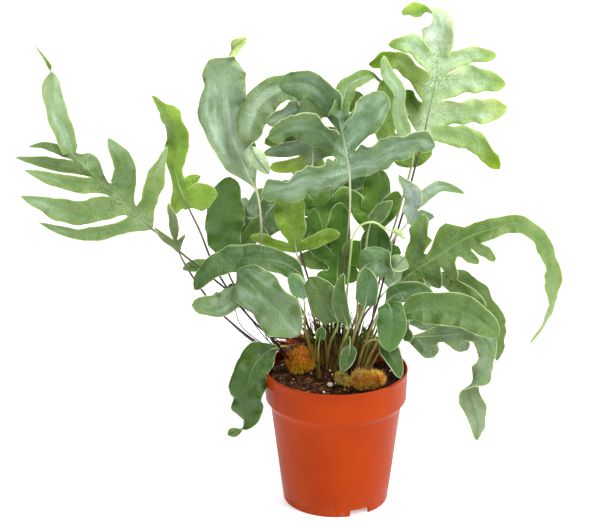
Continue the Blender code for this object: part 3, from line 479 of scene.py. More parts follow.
# A frond's first line has its name, its kind of stalk and what differs from the defaults below.
# look: the colours of its upper side, its underside and its tip's upper side, 0 to 255 in sRGB.
# These, and a lobe's or end lobe's own look, are partly the leaf's own colour and partly painted
# light and shade: darker on fronds and lobes deep in the plant, paler and bluish white where lit.
# face: the way its upper side looks, at the point of the rachis or the end lobe that facing
# counts to. stalk, rachis and tip: the points of the stalk from the foot up, of the lobed rachis
# and of the end lobe, in millimetres. lobe: how far up the rachis it is (0 to 1), its width, and
# the points on its midrib, the last one its tip. pinnate: pairs of lobes, their reach and width.
# An indented line goes on from the one above.
TABLE = """
frond_far_left black width=20 neck=.8 flip=.76 after=.4 wing=7 blunt=2.6 wavy=.8 end=150/171/130
look 136 160 103, 143 170 86, 154 175 137
face -.1 -.8 .6
stalk -36 42 108, -38 42 122, -50 40 134, -72 31 158, -112 14 200
rachis -151 0 240, -170 -2 260, -184 -4 276, -200 -7 292, -214 -8 308
tip -219 -8 322, -224 -8 336, -227 -7 349, -229 -5 361, -228 -2 372, -232 -1 382, -241 0 395
lobe .1 13 neck=.9 look=115/142/83: -209 -10 239, -243 -12 250
lobe .32 25 neck=.55 look=127/152/92: -215 -12 260, -256 -14 273
lobe .54 15: -221 -9 284, -253 -10 294
lobe .8 12: -236 4 296, -262 8 299
lobe 1 9: -238 18 306, -253 26 302
lobe .12 20 neck=.6 look=132/154/87: -149 -6 283, -137 -4 312
lobe .38 24 neck=.7 look=118/143/90: -172 -10 293, -184 -12 322
lobe .85 20: -200 -10 309

frond_left_bright black width=24 neck=.3 blunt=3
look 150 180 110, 135 166 47, 185 212 120
face .2 .9 .4
stalk -24 26 132, -38 22 135, -54 20 138, -76 18 160, -100 14 200, -113 10 236
rachis -121 8 255, -127 8 270, -130 8 280
tip -132 8 292, -130 6 308, -132 5 323, -138 3 339, -149 2 353
lobe .85 11 droop=.1: -111 14 281
lobe .4 26 droop=.2 neck=.8: -97 12 266
lobe .2 12 droop=.8: -135 12 246

frond_left_curled black width=10 wing=3 blunt=2.6
look 102 117 78, 105 128 60, 124 141 82
face .5 -.8 .2
stalk -38 20 128, -60 14 131, -86 4 155, -102 2 173, -120 0 201
rachis -129 -2 220, -132 -3 233
tip -134 -2 246, -138 4 262
lobe .8 7 droop=-.3: -149 -10 246
lobe .3 7 droop=-.3: -124 -8 239

frond_tall_left brown width=38 neck=.35 flip=.87 after=.5 pale=.75
look 143 162 140, 210 222 147, 159 179 143
face 0 -.95 .2
stalk -30 20 132, -50 16 131, -60 14 160, -63 14 196, -62 14 235
rachis -65 13 266
tip -72 12 282, -79 12 299, -88 12 319, -92 12 337, -91 13 358, -90 15 374, -84 18 387, -73 20 396

frond_left_dark black width=34 blunt=4.5
look 90 120 70, 93 132 49, 96 128 66
face 0 .9 .3
stalk -18 38 136, -36 40 141, -54 42 147, -72 40 159, -85 34 178
rachis -90 28 192, -92 30 202
tip -93 31 213, -94 32 231, -91 33 253, -88 34 274
lobe .3 12 droop=.6: -128 20 197
lobe .8 15 droop=0: -62 34 240

frond_left_arch brown width=22 wavy=.8
look 83 119 54, 84 118 44, 76 110 43
face .1 -.6 .8
stalk -12 14 128, -17 10 147, -20 6 173
rachis -26 2 192
tip -34 -1 205, -52 -4 214, -76 -4 216, -96 -4 211, -107 -5 203, -117 -6 189

frond_front_left black width=38 neck=.85 facing=3 wavy=.8
look 112 138 94, 100 129 61, 118 142 90
face -.3 -.85 .35
stalk -40 8 128, -52 -6 145, -68 -20 175
rachis -81 -29 206, -80 -33 211
tip -72 -40 208, -59 -45 198, -46 -50 185, -31 -54 168
lobe .5 20 neck=.9 face=.1/-.9/.3: -84 -33 196, -93 -36 188, -118 -38 188

frond_over_rim green width=29 neck=.9 flip=.84 after=.7
look 69 105 18, 110 136 54, 85 122 28
face -.5 -.7 .5
stalk -38 12 128, -41 8 133
rachis -45 6 134
tip -57 -1 132, -69 -9 121, -74 -15 104, -74 -17 88, -75 -17 73, -91 -14 62

frond_centre brown width=15 wing=9 wavy=.95 pale=.75 end=116/147/73
look 122 151 115, 94 133 57, 115 145 98
face -.1 -.8 .6
stalk 2 15 128, 3 7 165, 5 -2 206, 10 -8 252
rachis 10 -11 286, 8 -14 304, 5 -17 322, 1 -19 339
tip 4 -16 353, 8 -7 363, 17 2 366, 26 10 366, 36 15 361
lobe .1 32 neck=.85 look=115/143/103: -28 -29 291, -61 -36 281
lobe .48 28 neck=.8 look=104/134/86: -28 -25 336, -56 -30 327
lobe .9 27 neck=.65 look=115/145/101: -8 -12 355, -24 -7 365, -47 -1 361
lobe .2 28 neck=.95 look=122/150/114: 34 -21 311, 57 -25 323, 78 -26 319
lobe .62 28 neck=.75 look=130/158/128: 22 -22 342, 36 -26 364
lobe .97 9 droop=0: 21 8 350

frond_behind_centre brown width=26 flip=.74 wing=15 facing=5 wavy=.8
look 124 146 102, 211 228 211, 137 157 97
face -.1 -.9 .4
stalk -8 32 140, -20 30 175, -31 29 220, -27 29 262
rachis -20 26 288, -22 25 308, -24 25 327, -26 25 345
tip -41 18 354, -54 11 351, -65 4 341, -70 -2 328, -71 -4 315, -65 -4 302, -55 -3 288
lobe .97 19 neck=.7 look=114/138/116: -38 6 338, -58 -4 332
lobe .6 19 look=84/113/37: -59 6 311
lobe .33 13 droop=.1 look=114/136/116: -60 8 302
lobe .05 14 droop=0 look=130/155/41: -55 8 290
lobe .25 24 droop=.4 look=82/113/25: 16 40 301
lobe .85 26 droop=-.2 neck=.9 look=84/121/10: 22 40 342

frond_pale_upright green width=13 neck=.9
look 152 178 137, 151 183 106, 165 190 148
face .5 -.85 .2
stalk 12 20 128, 30 16 180, 54 14 262
rachis 62 12 305
tip 56 12 317, 50 12 330, 49 12 344, 48 11 357, 40 10 369, 37 9 384

frond_backlit brown width=26
look 120 150 70, 138 173 47, 132 164 74
face 0 .9 .4
stalk -12 24 140, -20 18 160, -28 16 195
rachis -33 12 215, -34 11 224
tip -36 10 238, -39 8 256, -42 6 276
lobe .4 10 droop=.1 look=123/155/45: -72 28 223
lobe .45 12 droop=.2 look=118/153/42: 3 5 234

frond_inner_left green width=26 wing=8
look 133 170 81, 110 145 53, 146 180 90
face 0 -.9 .4
stalk -6 34 138, -8 38 163
rachis -9 40 190, -10 40 212, -12 41 228, -14 42 244
tip -17 42 258, -20 40 280, -24 38 296
lobe .2 17 droop=.2: -32 40 196
lobe .58 18 look=118/155/53: -40 38 234
lobe .95 18: -48 36 268
lobe .12 16 droop=.2 look=136/174/57: 11 38 186
lobe .5 17: 14 34 214
lobe .9 22: 18 34 258

frond_inner_right green width=23 end=81/115/3
look 90 124 40, 91 133 3, 96 132 46
face 0 .9 .4
stalk 16 24 132, 22 24 165
rachis 26 24 190, 28 22 205, 30 22 222, 31 22 240
tip 32 22 252, 33 22 268, 33 20 286
lobe .48 16 look=118/165/2: 54 20 212
lobe .93 16 droop=0: 51 20 266
lobe .48 20 look=89/129/3: 4 20 214
lobe .93 15 droop=.1: 10 22 266

frond_inner_upright green width=20 wing=7
look 98 134 44, 83 131 7, 106 142 54
face 0 .9 .4
stalk -2 26 138, 0 27 156
rachis 1 27 180, 1 27 194, 2 27 206
tip 2 27 216, 2 27 234, 3 27 254
lobe .22 15 droop=.2: -17 26 186
lobe .75 14: -15 26 214, -18 25 230, -19 25 250
lobe .25 15 droop=.2: 19 29 186

frond_behind_right green width=19
look 106 146 28, 138 167 79, 124 162 44
face 0 .9 .4
stalk 18 34 134, 26 38 180, 36 40 250
rachis 40 40 290, 42 39 316, 42 38 330
tip 42 38 340, 41 38 349, 40 37 357
lobe .25 12 droop=.1 look=142/168/96: 58 32 306
lobe .7 15 droop=.1: 56 30 334
lobe .75 12 droop=-.2: 30 38 330
lobe .03 14 look=199/205/255: 60 36 288, 79 33 297

leaf_front_left green width=16 wavy=.8
look 136 179 131, 112 147 77, 149 190 143
face -.3 -.9 .3
stalk -20 8 116, -26 -8 158
rachis -27 -20 186
tip -31 -23 197, -37 -22 210

leaf_front_broad green width=25 wavy=.8
look 86 114 46, 81 111 37, 92 123 53
face .1 -.9 .4
stalk -8 12 116, -5 -6 142
rachis 1 -22 166
tip -5 -30 180, -14 -32 196, -22 -28 209

leaf_front_narrow green width=14 blunt=3.5 wavy=.8
look 73 108 32, 73 108 29, 81 118 40
face -.2 -.9 .3
stalk -1 10 114, 4 -14 142
rachis 9 -33 166
tip 4 -38 184, 2 -39 200, 5 -36 215

leaf_front_round green width=21 neck=.6 blunt=3.5 wavy=.8
look 76 115 57, 80 115 46, 83 125 64
face 0 -.95 .3
stalk 8 6 112, 13 -20 150
rachis 22 -38 186
tip 24 -42 198, 24 -41 209, 22 -38 221

leaf_front_curled green width=29 flip=.66 after=.9 facing=1 wavy=.8
look 92 127 76, 148 169 138, 121 157 103
face 0 -.85 .5
stalk 12 14 118, 17 -7 170
rachis 19 -22 212
tip 31 -24 220, 45 -27 216, 55 -20 223

leaf_mid_right green width=14 blunt=3 wavy=.8
look 92 123 65, 86 120 47, 100 132 76
face .1 -.9 .3
stalk 16 18 128, 22 4 190
rachis 27 0 243
tip 33 -1 252, 45 -4 266

leaf_inner_round green width=27 neck=.6 wavy=.8
look 59 104 2, 66 104 2, 68 115 2
face 0 -.9 .3
stalk 10 22 130, 23 12 180
rachis 29 8 204
tip 32 8 217, 33 8 228, 34 8 240

leaf_right_drooping green width=25 facing=2 blunt=4 wavy=.8
look 69 112 30, 74 112 31, 75 119 34
face 0 -.9 .4
stalk 16 4 112, 28 -20 160
rachis 40 -36 189
tip 43 -46 187, 44 -52 174, 42 -54 154

leaf_over_soil green width=17 facing=2 blunt=3 wavy=.8
look 66 98 25, 73 105 28, 74 106 29
face .2 -.8 .6
stalk 15 -2 112, 25 -24 150
rachis 35 -36 156
tip 42 -41 149, 47 -44 140, 52 -46 127

leaf_small_drooping green width=15 neck=.45 facing=1 blunt=2.6 wavy=.8
look 64 100 6, 70 105 16, 71 109 7
face 0 -.8 .5
stalk 4 10 112, 9 -8 146, 11 -20 152
rachis 11 -24 149
tip 10 -30 142, 4 -36 128

leaf_right_level green width=17 facing=2 wavy=.8
look 92 126 70, 85 115 47, 107 141 86
face 0 -.95 .3
stalk 19 6 112, 31 -8 155
rachis 40 -13 180
tip 50 -15 189, 64 -16 191, 80 -17 187

leaf_small_upright green width=9 wavy=.8
look 66 103 2, 73 106 5, 72 109 2
face 0 -.9 .3
stalk -14 0 112, -15 -12 138
rachis -14 -14 147
tip -13 -15 153, -12 -15 160

frond_top_right black width=28 neck=.8 flip=.6 after=.9 wing=9 wavy=.75 pale=.75 end=218/224/224
look 193 211 178, 154 188 55, 176 200 116
face -.1 -.9 .4
stalk 22 26 128, 31 26 151, 43 26 200, 57 28 252, 67 30 293
rachis 71 30 307, 74 30 325, 78 30 345, 81 30 363, 82 30 376
tip 82 30 392, 81 28 407, 74 25 415, 64 22 416, 51 18 418
lobe .02 20 look=173/195/133: 92 27 313, 109 23 310, 122 19 301, 133 16 286
lobe .3 24 neck=.75 look=197/212/174: 108 22 334, 138 16 339
lobe .6 22 neck=.75: 108 29 359, 137 24 356
lobe .9 15 neck=.95: 104 29 379, 129 24 380
lobe .2 17 droop=-.2 look=107/132/62: 56 40 347
lobe .58 20 neck=.7 look=147/168/86: 46 27 377, 25 22 373
lobe .92 17: 59 29 389, 41 27 388

frond_mid_right brown width=18 blunt=3
look 177 192 191, 132 167 98, 162 184 149
face 0 -.9 .4
stalk 26 16 128, 34 14 180, 46 12 225
rachis 58 9 242, 62 7 256
tip 62 5 266, 57 4 276, 50 3 286
lobe .85 13 look=156/177/161: 76 2 273, 88 0 277, 104 -2 271
lobe .4 16 droop=.6 look=183/203/211: 80 0 250
lobe .08 11 droop=-.2: 73 2 236

frond_far_right green width=14 neck=1 wing=9 end=126/152/84
look 114 142 69, 149 172 118, 146 174 101
face -.2 -.8 .5
stalk 22 14 116, 35 9 150, 46 3 178
rachis 54 0 194, 67 -4 207, 83 -9 220, 98 -14 233, 112 -18 242
tip 125 -20 247, 141 -20 252, 156 -18 246, 168 -16 230, 175 -14 209, 176 -12 190, 174 -10 171,
 168 -9 155, 160 -8 142
lobe .25 18 droop=0 look=107/137/65: 71 -8 256
lobe .55 15 droop=0: 88 -8 248
lobe .15 17 droop=.1 look=94/124/51: 70 -3 184
lobe .38 15 droop=.2 look=94/122/51: 84 -6 190
lobe .62 12: 97 -10 198
lobe .8 10 droop=-.1: 116 -12 214
lobe .97 11 droop=.8: 128 -16 217

frond_right_arch green width=18
look 102 129 54, 85 118 38, 95 127 49
face .1 -.6 .8
stalk 24 8 112, 45 5 162, 66 3 188
rachis 80 2 197, 90 1 200
tip 103 0 196, 117 -2 185, 127 -4 169, 132 -4 152, 134 -4 138, 134 -2 124
lobe .6 13 droop=.4: 122 -14 175

frond_front_right green width=28 wavy=.8
look 96 128 58, 86 120 45, 106 138 67
face .1 -.8 .6
stalk 20 -1 112, 36 -11 150
rachis 49 -22 172, 56 -28 177
tip 70 -32 182, 88 -36 184, 106 -39 181, 120 -42 173, 131 -44 163
lobe .5 20 droop=.1: 60 -36 155

frond_right_drooping green width=22 flip=.5 after=1.05
look 127 150 111, 140 156 126, 129 152 105
face 0 -.8 .6
stalk 24 2 112, 42 -8 142
rachis 58 -14 150, 80 -20 154, 103 -26 158
tip 116 -29 157, 124 -30 145, 121 -31 131, 112 -30 118, 109 -29 108, 113 -28 94, 117 -28 79,
 117 -28 63
lobe .35 17 droop=.1: 80 -26 137
lobe .85 14 droop=.1: 108 -20 141

frond_back_left brown width=19
look 92 124 66, 94 128 54, 100 132 72
face .2 -.3 .9
stalk -16 45 108, -22 48 132, -36 58 165, -48 68 192
rachis -56 76 206, -66 88 218, -76 100 224
tip -86 110 226, -98 120 220
pinnate 3 38 20

frond_back_middle brown width=18
look 100 134 78, 98 134 60, 108 142 86
face 0 -.4 .9
stalk -10 42 132, -10 58 170, -8 70 205
rachis -6 78 222, -2 92 240, 2 108 250
tip 6 122 252, 10 138 246
pinnate 3 46 17

frond_back_right brown width=18
look 104 136 82, 94 128 56, 112 146 90
face -.2 -.3 .9
stalk 14 40 128, 26 52 146, 38 62 156
rachis 46 70 162, 58 82 167, 70 94 168
tip 80 104 166, 92 114 158
pinnate 3 36 15

frond_back_low_left brown width=18
look 96 128 74, 90 124 52, 104 136 80
face .1 -.2 .9
stalk -27 42 108, -31 45 122, -42 50 134, -54 58 143
rachis -64 66 146, -80 78 152
tip -94 88 150, -108 98 138
pinnate 2 30 15

frond_back_low_right brown width=17
look 100 134 74, 92 126 50, 108 142 82
face -.1 -.2 .9
stalk 34 38 108, 38 41 122, 50 48 132
rachis 60 54 136, 74 62 138
tip 86 70 136, 98 78 126
pinnate 2 26 14
"""

# neck: the share of a lobe's width where it leaves the rachis. flip: where along it the end lobe
# turns over (0 where it doesn't), and after: the share of its width past that. wing: half the
# width of the strip along the rachis. The lower blunt is, the more the lobes taper to a point.
# wavy: how strong the waves are. pale: how much of the stalk's colour the rachis has.
FROND = {"neck": 0.72, "flip": 0.0, "after": 0.8, "wing": 6.0, "facing": 0, "blunt": 6.0,
         "wavy": 1.0, "pale": 0.25, "end": None}
# droop: how its end droops. face and look: its own, where they aren't the rachis's. Its look, like
# the frond's, holds painted light and shade.
LOBE = {"droop": 0.3, "neck": 0.72, "face": None, "look": None, "via": ()}
PINNATE_LEAN = 62.0
STALK_COLOURS = {"black": ((38, 28, 24), (96, 88, 64)), "brown": ((84, 54, 36), (182, 186, 150)),
                 "green": ((136, 126, 66), (156, 178, 112))}       # foot and top


def read_options(words, defaults):
    """The defaults, with what words such as neck=.9 or look=115/142/83 say."""
    values = dict(defaults)
    for word in words:
        key, text = word.split("=")
        numbers = [float(number) for number in text.split("/")]
        values[key] = numbers if len(numbers) > 1 else numbers[0]
    return values


def read_points(text):
    return [np.array([float(number) for number in point.split()]) for point in text.split(",")]


def pinnate(pairs, reach, width):
    """Side lobes in pairs, the middle ones longest."""
    lobes = []
    for s in [(i + 0.5) / pairs for i in range(int(pairs))]:
        for side in (-1, 1):
            far = reach * (1.0 - 0.5 * (s - 0.35) ** 2)
            lobes.append({**LOBE, "s": s, "side": side, "reach": far, "width": width})
    return lobes


def read_fronds():
    """The table's fronds, each with its number as its seed."""
    fronds = []
    for block in TABLE.replace("\n ", " ").strip().split("\n\n"):
        head, *lines = block.split("\n")
        name, stalk, *words = head.split()
        frond = {"name": name, "seed": len(fronds), "stalk_look": STALK_COLOURS[stalk], "lobes": []}
        frond.update(read_options(words, FROND))
        for line in lines:
            kind, rest = line.split(" ", 1)
            if kind == "lobe":
                rest, points = rest.split(": ")
                s, width, *words = rest.split()
                part = read_options(words, LOBE)
                part.update(s=float(s), width=float(width))
                *part["via"], part["tip"] = read_points(points)
                frond["lobes"].append(part)
            elif kind == "pinnate":
                frond["lobes"] += pinnate(*read_points(rest)[0])
            else:
                frond[kind] = read_points(rest)
        for part in frond["lobes"]:
            part["blunt"] = frond["blunt"]
        first = len(frond["stalk"])
        frond.update(points=frond["stalk"] + frond["rachis"] + frond["tip"], first=first,
                     last=first + len(frond["rachis"]) - 1, face=frond["face"][0],
                     facing=first + int(frond["facing"]))
        fronds.append(frond)
    return fronds


# ---- materials

def srgb(r, g, b):
    """A colour given as 0 to 255 in sRGB, as linear values."""
    values = [v / 255.0 for v in (r, g, b)]
    return np.array([v / 12.92 if v <= 0.04045 else ((v + 0.055) / 1.055) ** 2.4 for v in values])


class Graph:
    """A material's nodes. The methods take numbers, colours or other nodes' outputs, and give back
    an output. Textures are read at the object's own place, and tone is the colour kept on the
    mesh's points, which on the blades and the rhizome's hairs holds painted light and shade too."""

    def __init__(self, name, tone=None):
        self.material = bpy.data.materials.new(name)
        self.material.use_nodes = True
        self.material.node_tree.nodes.clear()
        self.place = self.node("TexCoord").outputs["Object"]
        if tone:
            self.tone = self.node("Attribute", attribute_name=tone).outputs["Color"]

    def node(self, kind, inputs=(), **values):
        made = self.material.node_tree.nodes.new("ShaderNode" + kind)
        for key, value in values.items():
            setattr(made, key, value)
        for key, value in dict(inputs).items():
            self.plug(value, made.inputs[key])
        return made

    def plug(self, value, socket):
        if isinstance(value, bpy.types.NodeSocket):
            self.material.node_tree.links.new(value, socket)
        elif hasattr(value, "__len__") and len(value) == 3 and len(socket.default_value) == 4:
            socket.default_value = (*value, 1.0)
        else:
            socket.default_value = value

    def maths(self, operation, *values):
        """The values joined in turn."""
        total = values[0]
        for value in values[1:] or (0.0,):
            total = self.node("Math", {0: total, 1: value}, operation=operation).outputs[0]
        return total

    def times(self, *values):
        return self.maths("MULTIPLY", *values)

    def mix(self, factor, a, b, blend="MIX"):
        return self.node("Mix", {"Factor": factor, 6: a, 7: b}, data_type="RGBA", blend_type=blend,
                         clamp_factor=True).outputs[2]

    def tinted(self, colour, tint, factor=1.0):
        """The colour, with factor of it multiplied by the tint."""
        full = self.mix(1.0, colour, tint, "MULTIPLY")
        return full if factor == 1.0 else self.mix(factor, colour, full)

    def step(self, value, low, high, out_low=0.0, out_high=1.0):
        """A smooth step: value between low and high becomes out_low to out_high."""
        ends = {"From Min": low, "From Max": high, "To Min": out_low, "To Max": out_high}
        made = self.node("MapRange", {"Value": value, **ends}, interpolation_type="SMOOTHSTEP")
        return made.outputs["Result"]

    def noise(self, scale, detail=3.0, roughness=0.5, place=None, distortion=0.0):
        inputs = {"Vector": self.place if place is None else place, "Scale": scale,
                  "Detail": detail, "Roughness": roughness, "Distortion": distortion}
        return self.node("TexNoise", inputs).outputs["Fac"]

    def cells(self, scale, feature="F1"):
        made = self.node("TexVoronoi", {"Vector": self.place, "Scale": scale}, feature=feature)
        return made.outputs["Distance"]

    def stretched(self, place, scale):
        return self.node("Mapping", {"Vector": place, "Scale": scale}).outputs["Vector"]

    def split(self, vector, kind="XYZ"):
        return self.node("Separate" + kind, {0: vector}).outputs

    def finished(self, colour, roughness, specular, relief=None, bump=(), through=None, share=0.0,
                 extra=()):
        """The material: a Principled shader over the relief, with bump's strength and depth, and a
        share of light that comes through in another colour."""
        bent = {}
        if relief is not None:
            strength, depth = bump
            bent["Normal"] = self.node("Bump", {"Strength": strength, "Distance": depth,
                                                "Height": relief}).outputs["Normal"]
        plain = {"Base Color": colour, "Roughness": roughness, "Specular IOR Level": specular}
        shader = self.node("BsdfPrincipled", {**plain, **bent, **dict(extra)}).outputs[0]
        if through is not None:
            glow = self.node("BsdfTranslucent", {"Color": through, **bent}).outputs[0]
            shader = self.node("MixShader", {0: share, 1: shader, 2: glow}).outputs[0]
        self.node("OutputMaterial", {"Surface": shader})
        return self.material


VEIN_SPACING = 3.6         # millimetres between side veins
MARGIN_COLOUR = (0.66, 0.75, 0.46)
# pale blue-white film on the blades: partly their waxy bloom, partly painted sheen
BLOOM_SHEEN_COLOUR = srgb(186, 210, 196)


def leaf_material(name, upper):
    """A blade: a pale film, part wax and part painted sheen, and mottling, angled veins with a net
    between them, a pale margin, and where the wax is rubbed off beside the rachis, dark speckles."""
    g = Graph(name, "leaf_tone")
    leaf = g.node("Attribute", attribute_name="leaf_place").outputs["Vector"]
    across, along, margin = g.split(leaf)
    rib = g.maths("ABSOLUTE", across)
    grain = g.noise(1500.0, 2.0, 0.6)

    # side veins leave the midrib at a slant and arch towards the tip
    slant = g.maths("SUBTRACT", along, g.times(g.maths("POWER", rib, 1.12), 0.62))
    phase = g.times(g.maths("ADD", slant, g.times(g.noise(90.0, 2.0), 5.0)), 1.0 / VEIN_SPACING)
    fibre = g.node("CombineXYZ", {0: phase, 1: g.times(rib, 0.09)}).outputs[0]
    streaks = g.noise(2.6, 4.0, 0.65, fibre)
    veins = g.step(g.maths("PINGPONG", phase, 0.5), 0.0, 0.14, 1.0, 0.0)
    net = g.step(g.cells(620.0, "DISTANCE_TO_EDGE"), 0.0, 0.12, 1.0, 0.0)
    midrib = g.step(rib, 0.2, 0.7, 1.0, 0.0)

    colour = g.mix(g.step(g.noise(42.0), 0.38, 0.58), g.tinted(g.tone, (0.70, 0.80, 0.54)), g.tone)
    if upper:
        parts = g.split(g.tone, "Color")
        # a pale bluish film where the tone is bluish: partly the blade's waxy bloom, partly painted
        # sheen
        wax_sheen_share = g.step(g.maths("DIVIDE", parts["Blue"], parts["Green"]), 0.15, 0.62, 0.10, 1.0)
        shift = g.stretched(g.place, (12.0, 12.0, 12.0))
        along_lobe = g.stretched(leaf, (0.10, 0.024, 0.0))
        spread = g.node("VectorMath", {0: along_lobe, 1: shift}, operation="ADD")
        bloom_sheen_film = g.step(g.noise(1.0, 3.0, 0.5, spread.outputs[0]), 0.44, 0.68, 0.0, 0.9)
        inland = g.step(margin, 1.0, 6.0, 0.15, 1.0)
        bloom_and_sheen = g.mix(0.6, g.tinted(g.tone, (1.3, 1.25, 1.4)), BLOOM_SHEEN_COLOUR)
        colour = g.mix(g.times(bloom_sheen_film, wax_sheen_share, inland), colour, bloom_and_sheen)
    colour = g.tinted(colour, (0.60, 0.72, 0.52), g.step(streaks, 0.34, 0.60, 0.50, 0.0))
    colour = g.tinted(colour, (0.55, 0.66, 0.46), g.times(net, 0.10))
    colour = g.tinted(colour, (1.35, 1.30, 1.15) if upper else (0.62, 0.70, 0.50),
                      g.times(veins, 0.26 if upper else 0.42))
    colour = g.tinted(colour, (1.30, 1.28, 1.18) if upper else (0.55, 0.60, 0.42),
                      g.times(midrib, 0.45))
    if upper:
        near = g.step(along, 6.0, 40.0, 1.0, 0.0)
        patch = g.step(g.noise(85.0, 2.0), 0.50, 0.58)
        dots = g.step(g.cells(720.0), 0.32, 0.50, 1.0, 0.0)
        colour = g.tinted(colour, (0.26, 0.42, 0.28), g.times(near, patch, dots, 0.8))
    paler = g.tinted(g.tone, (1.12, 1.14, 0.52))
    colour = g.mix(g.step(margin, 0.4, 5.5, 0.42, 0.0), colour, paler)
    colour = g.mix(g.times(g.step(margin, 0.15, 0.7, 1.0, 0.0), 0.75), colour, MARGIN_COLOUR)
    colour = g.tinted(colour, (0.7, 0.75, 0.65), g.step(grain, 0.3, 0.7, 0.0, 0.12))

    relief = g.maths("ADD", g.times(veins, -0.35 if upper else 0.5), g.times(net, -0.16),
                     g.times(streaks, 0.9), g.times(g.noise(105.0, 2.0), 6.5), g.times(grain, 0.12))
    roughness = g.step(streaks, 0.3, 0.7, 0.28 if upper else 0.30, 0.44)
    through = g.mix(0.6, colour, g.tinted(colour, (1.7, 1.9, 0.30)))
    sheen = {"Sheen Weight": 0.08, "Sheen Roughness": 0.4, "Sheen Tint": (0.85, 0.96, 0.94)}
    return g.finished(colour, roughness, 0.6, relief, (0.5, 0.0009), through, 0.28,
                      sheen if upper else ())


def rim_material():
    """The thin pale edge of a blade."""
    g = Graph("leaf_margin", "leaf_tone")
    beads = g.noise(420.0, 3.0, 0.6)
    pale = g.mix(0.75, g.tone, (0.76, 0.82, 0.52))
    worn = g.mix(g.step(g.noise(48.0, 2.0), 0.66, 0.74, 0.0, 0.55), pale, (0.26, 0.17, 0.09))
    colour = g.tinted(worn, (0.7, 0.75, 0.6), g.step(beads, 0.35, 0.65, 0.0, 0.35))
    return g.finished(colour, g.step(beads, 0.3, 0.7, 0.45, 0.6), 0.35, beads, (0.3, 0.0004),
                      colour, 0.3)


def stalk_material():
    """Stalks and midribs: fine lengthwise scurf over the stalk's own colour."""
    g = Graph("leaf_stalk", "leaf_tone")
    flecks = g.noise(900.0, 3.0, 0.65)
    bands = g.noise(95.0, 3.0, 0.6)
    colour = g.tinted(g.tone, (0.55, 0.50, 0.42), g.step(bands, 0.35, 0.7, 0.0, 0.45))
    colour = g.tinted(colour, (1.5, 1.4, 1.2), g.step(flecks, 0.45, 0.7, 0.0, 0.35))
    return g.finished(colour, g.step(flecks, 0.3, 0.7, 0.32, 0.5), 0.5, flecks, (0.25, 0.0003))


def pot_material():
    """Moulded plastic: cloudy colour, fine turning lines, dust towards the foot, a few scuffs and
    a little soil below the rim."""
    g = Graph("pot_plastic")
    clouds = g.noise(22.0, 4.0, 0.55)
    height = g.split(g.place)[2]
    lines = g.noise(1.0, 2.0, 0.6, g.stretched(g.place, (4.0, 4.0, 900.0)))
    scratches = g.noise(1.0, 3.0, 0.7, g.stretched(g.place, (60.0, 60.0, 700.0)), 0.6)
    dust = g.times(g.step(height, 0.0, 0.02, 0.30, 0.0),
                   g.step(g.noise(160.0, 4.0, 0.65), 0.45, 0.65))
    soiled = g.times(g.step(height, 0.104, 0.118, 0.0, 0.35),
                     g.step(g.noise(240.0, 4.0, 0.7), 0.52, 0.68))
    colour = g.mix(g.step(clouds, 0.3, 0.7), srgb(152, 49, 3), srgb(161, 55, 5))
    for factor, tint in ((g.step(lines, 0.35, 0.7, 0.0, 0.08), srgb(132, 40, 8)),
                         (dust, srgb(180, 96, 60)),
                         (g.step(scratches, 0.66, 0.74, 0.0, 0.30), srgb(190, 88, 44)),
                         (soiled, srgb(90, 34, 14))):
        colour = g.mix(factor, colour, tint)
    relief = g.maths("ADD", g.times(lines, 0.5), g.times(g.noise(1300.0, 2.0), 0.35))
    return g.finished(colour, g.step(clouds, 0.3, 0.7, 0.34, 0.44), 0.07, relief, (0.10, 0.0004))


def soil_material():
    """Moist potting soil: dark crumbs, reddish peat fibre and pale grit."""
    g = Graph("soil", "soil_tone")
    coarse = g.noise(160.0, 5.0, 0.7)
    fine = g.noise(1100.0, 4.0, 0.7)
    colour = g.mix(g.step(coarse, 0.42, 0.60), g.tinted(g.tone, (0.22, 0.19, 0.18)), g.tone)
    colour = g.tinted(colour, (2.1, 1.7, 1.4), g.step(fine, 0.5, 0.72, 0.0, 0.6))
    relief = g.maths("ADD", coarse, g.times(fine, 0.5))
    return g.finished(colour, g.step(fine, 0.3, 0.7, 0.7, 0.95), 0.25, relief, (0.8, 0.0012))


def grit_material():
    """Perlite: white, chalky and pitted."""
    g = Graph("perlite")
    pits = g.noise(900.0, 4.0, 0.7)
    colour = g.mix(g.step(pits, 0.35, 0.65), srgb(226, 212, 184), srgb(255, 252, 242))
    return g.finished(colour, g.step(pits, 0.3, 0.7, 0.7, 0.9), 0.3, pits, (0.6, 0.0006))


def fur_material():
    """The rhizome's scales: each hair's own colour, streaked along it."""
    g = Graph("rhizome_fur", "fur_tone")
    streaks = g.noise(700.0, 3.0, 0.6)
    colour = g.tinted(g.tone, (0.6, 0.5, 0.4), g.step(streaks, 0.35, 0.65, 0.0, 0.45))
    return g.finished(colour, g.step(streaks, 0.3, 0.7, 0.55, 0.8), 0.3,
                      through=g.tinted(colour, (1.35, 1.1, 0.7)), share=0.42)


def floor_material():
    g = Graph("floor")
    colour = g.mix(g.noise(2.0), (0.86, 0.86, 0.855), (0.89, 0.89, 0.885))
    glow = {"Emission Color": (1.0, 1.0, 1.0), "Emission Strength": 0.42}
    return g.finished(colour, 0.9, 0.1, extra=glow)


# ---- meshes

def shown(name, mesh):
    """A new object in the scene."""
    made = bpy.data.objects.new(name, mesh)
    bpy.context.scene.collection.objects.link(made)
    return made


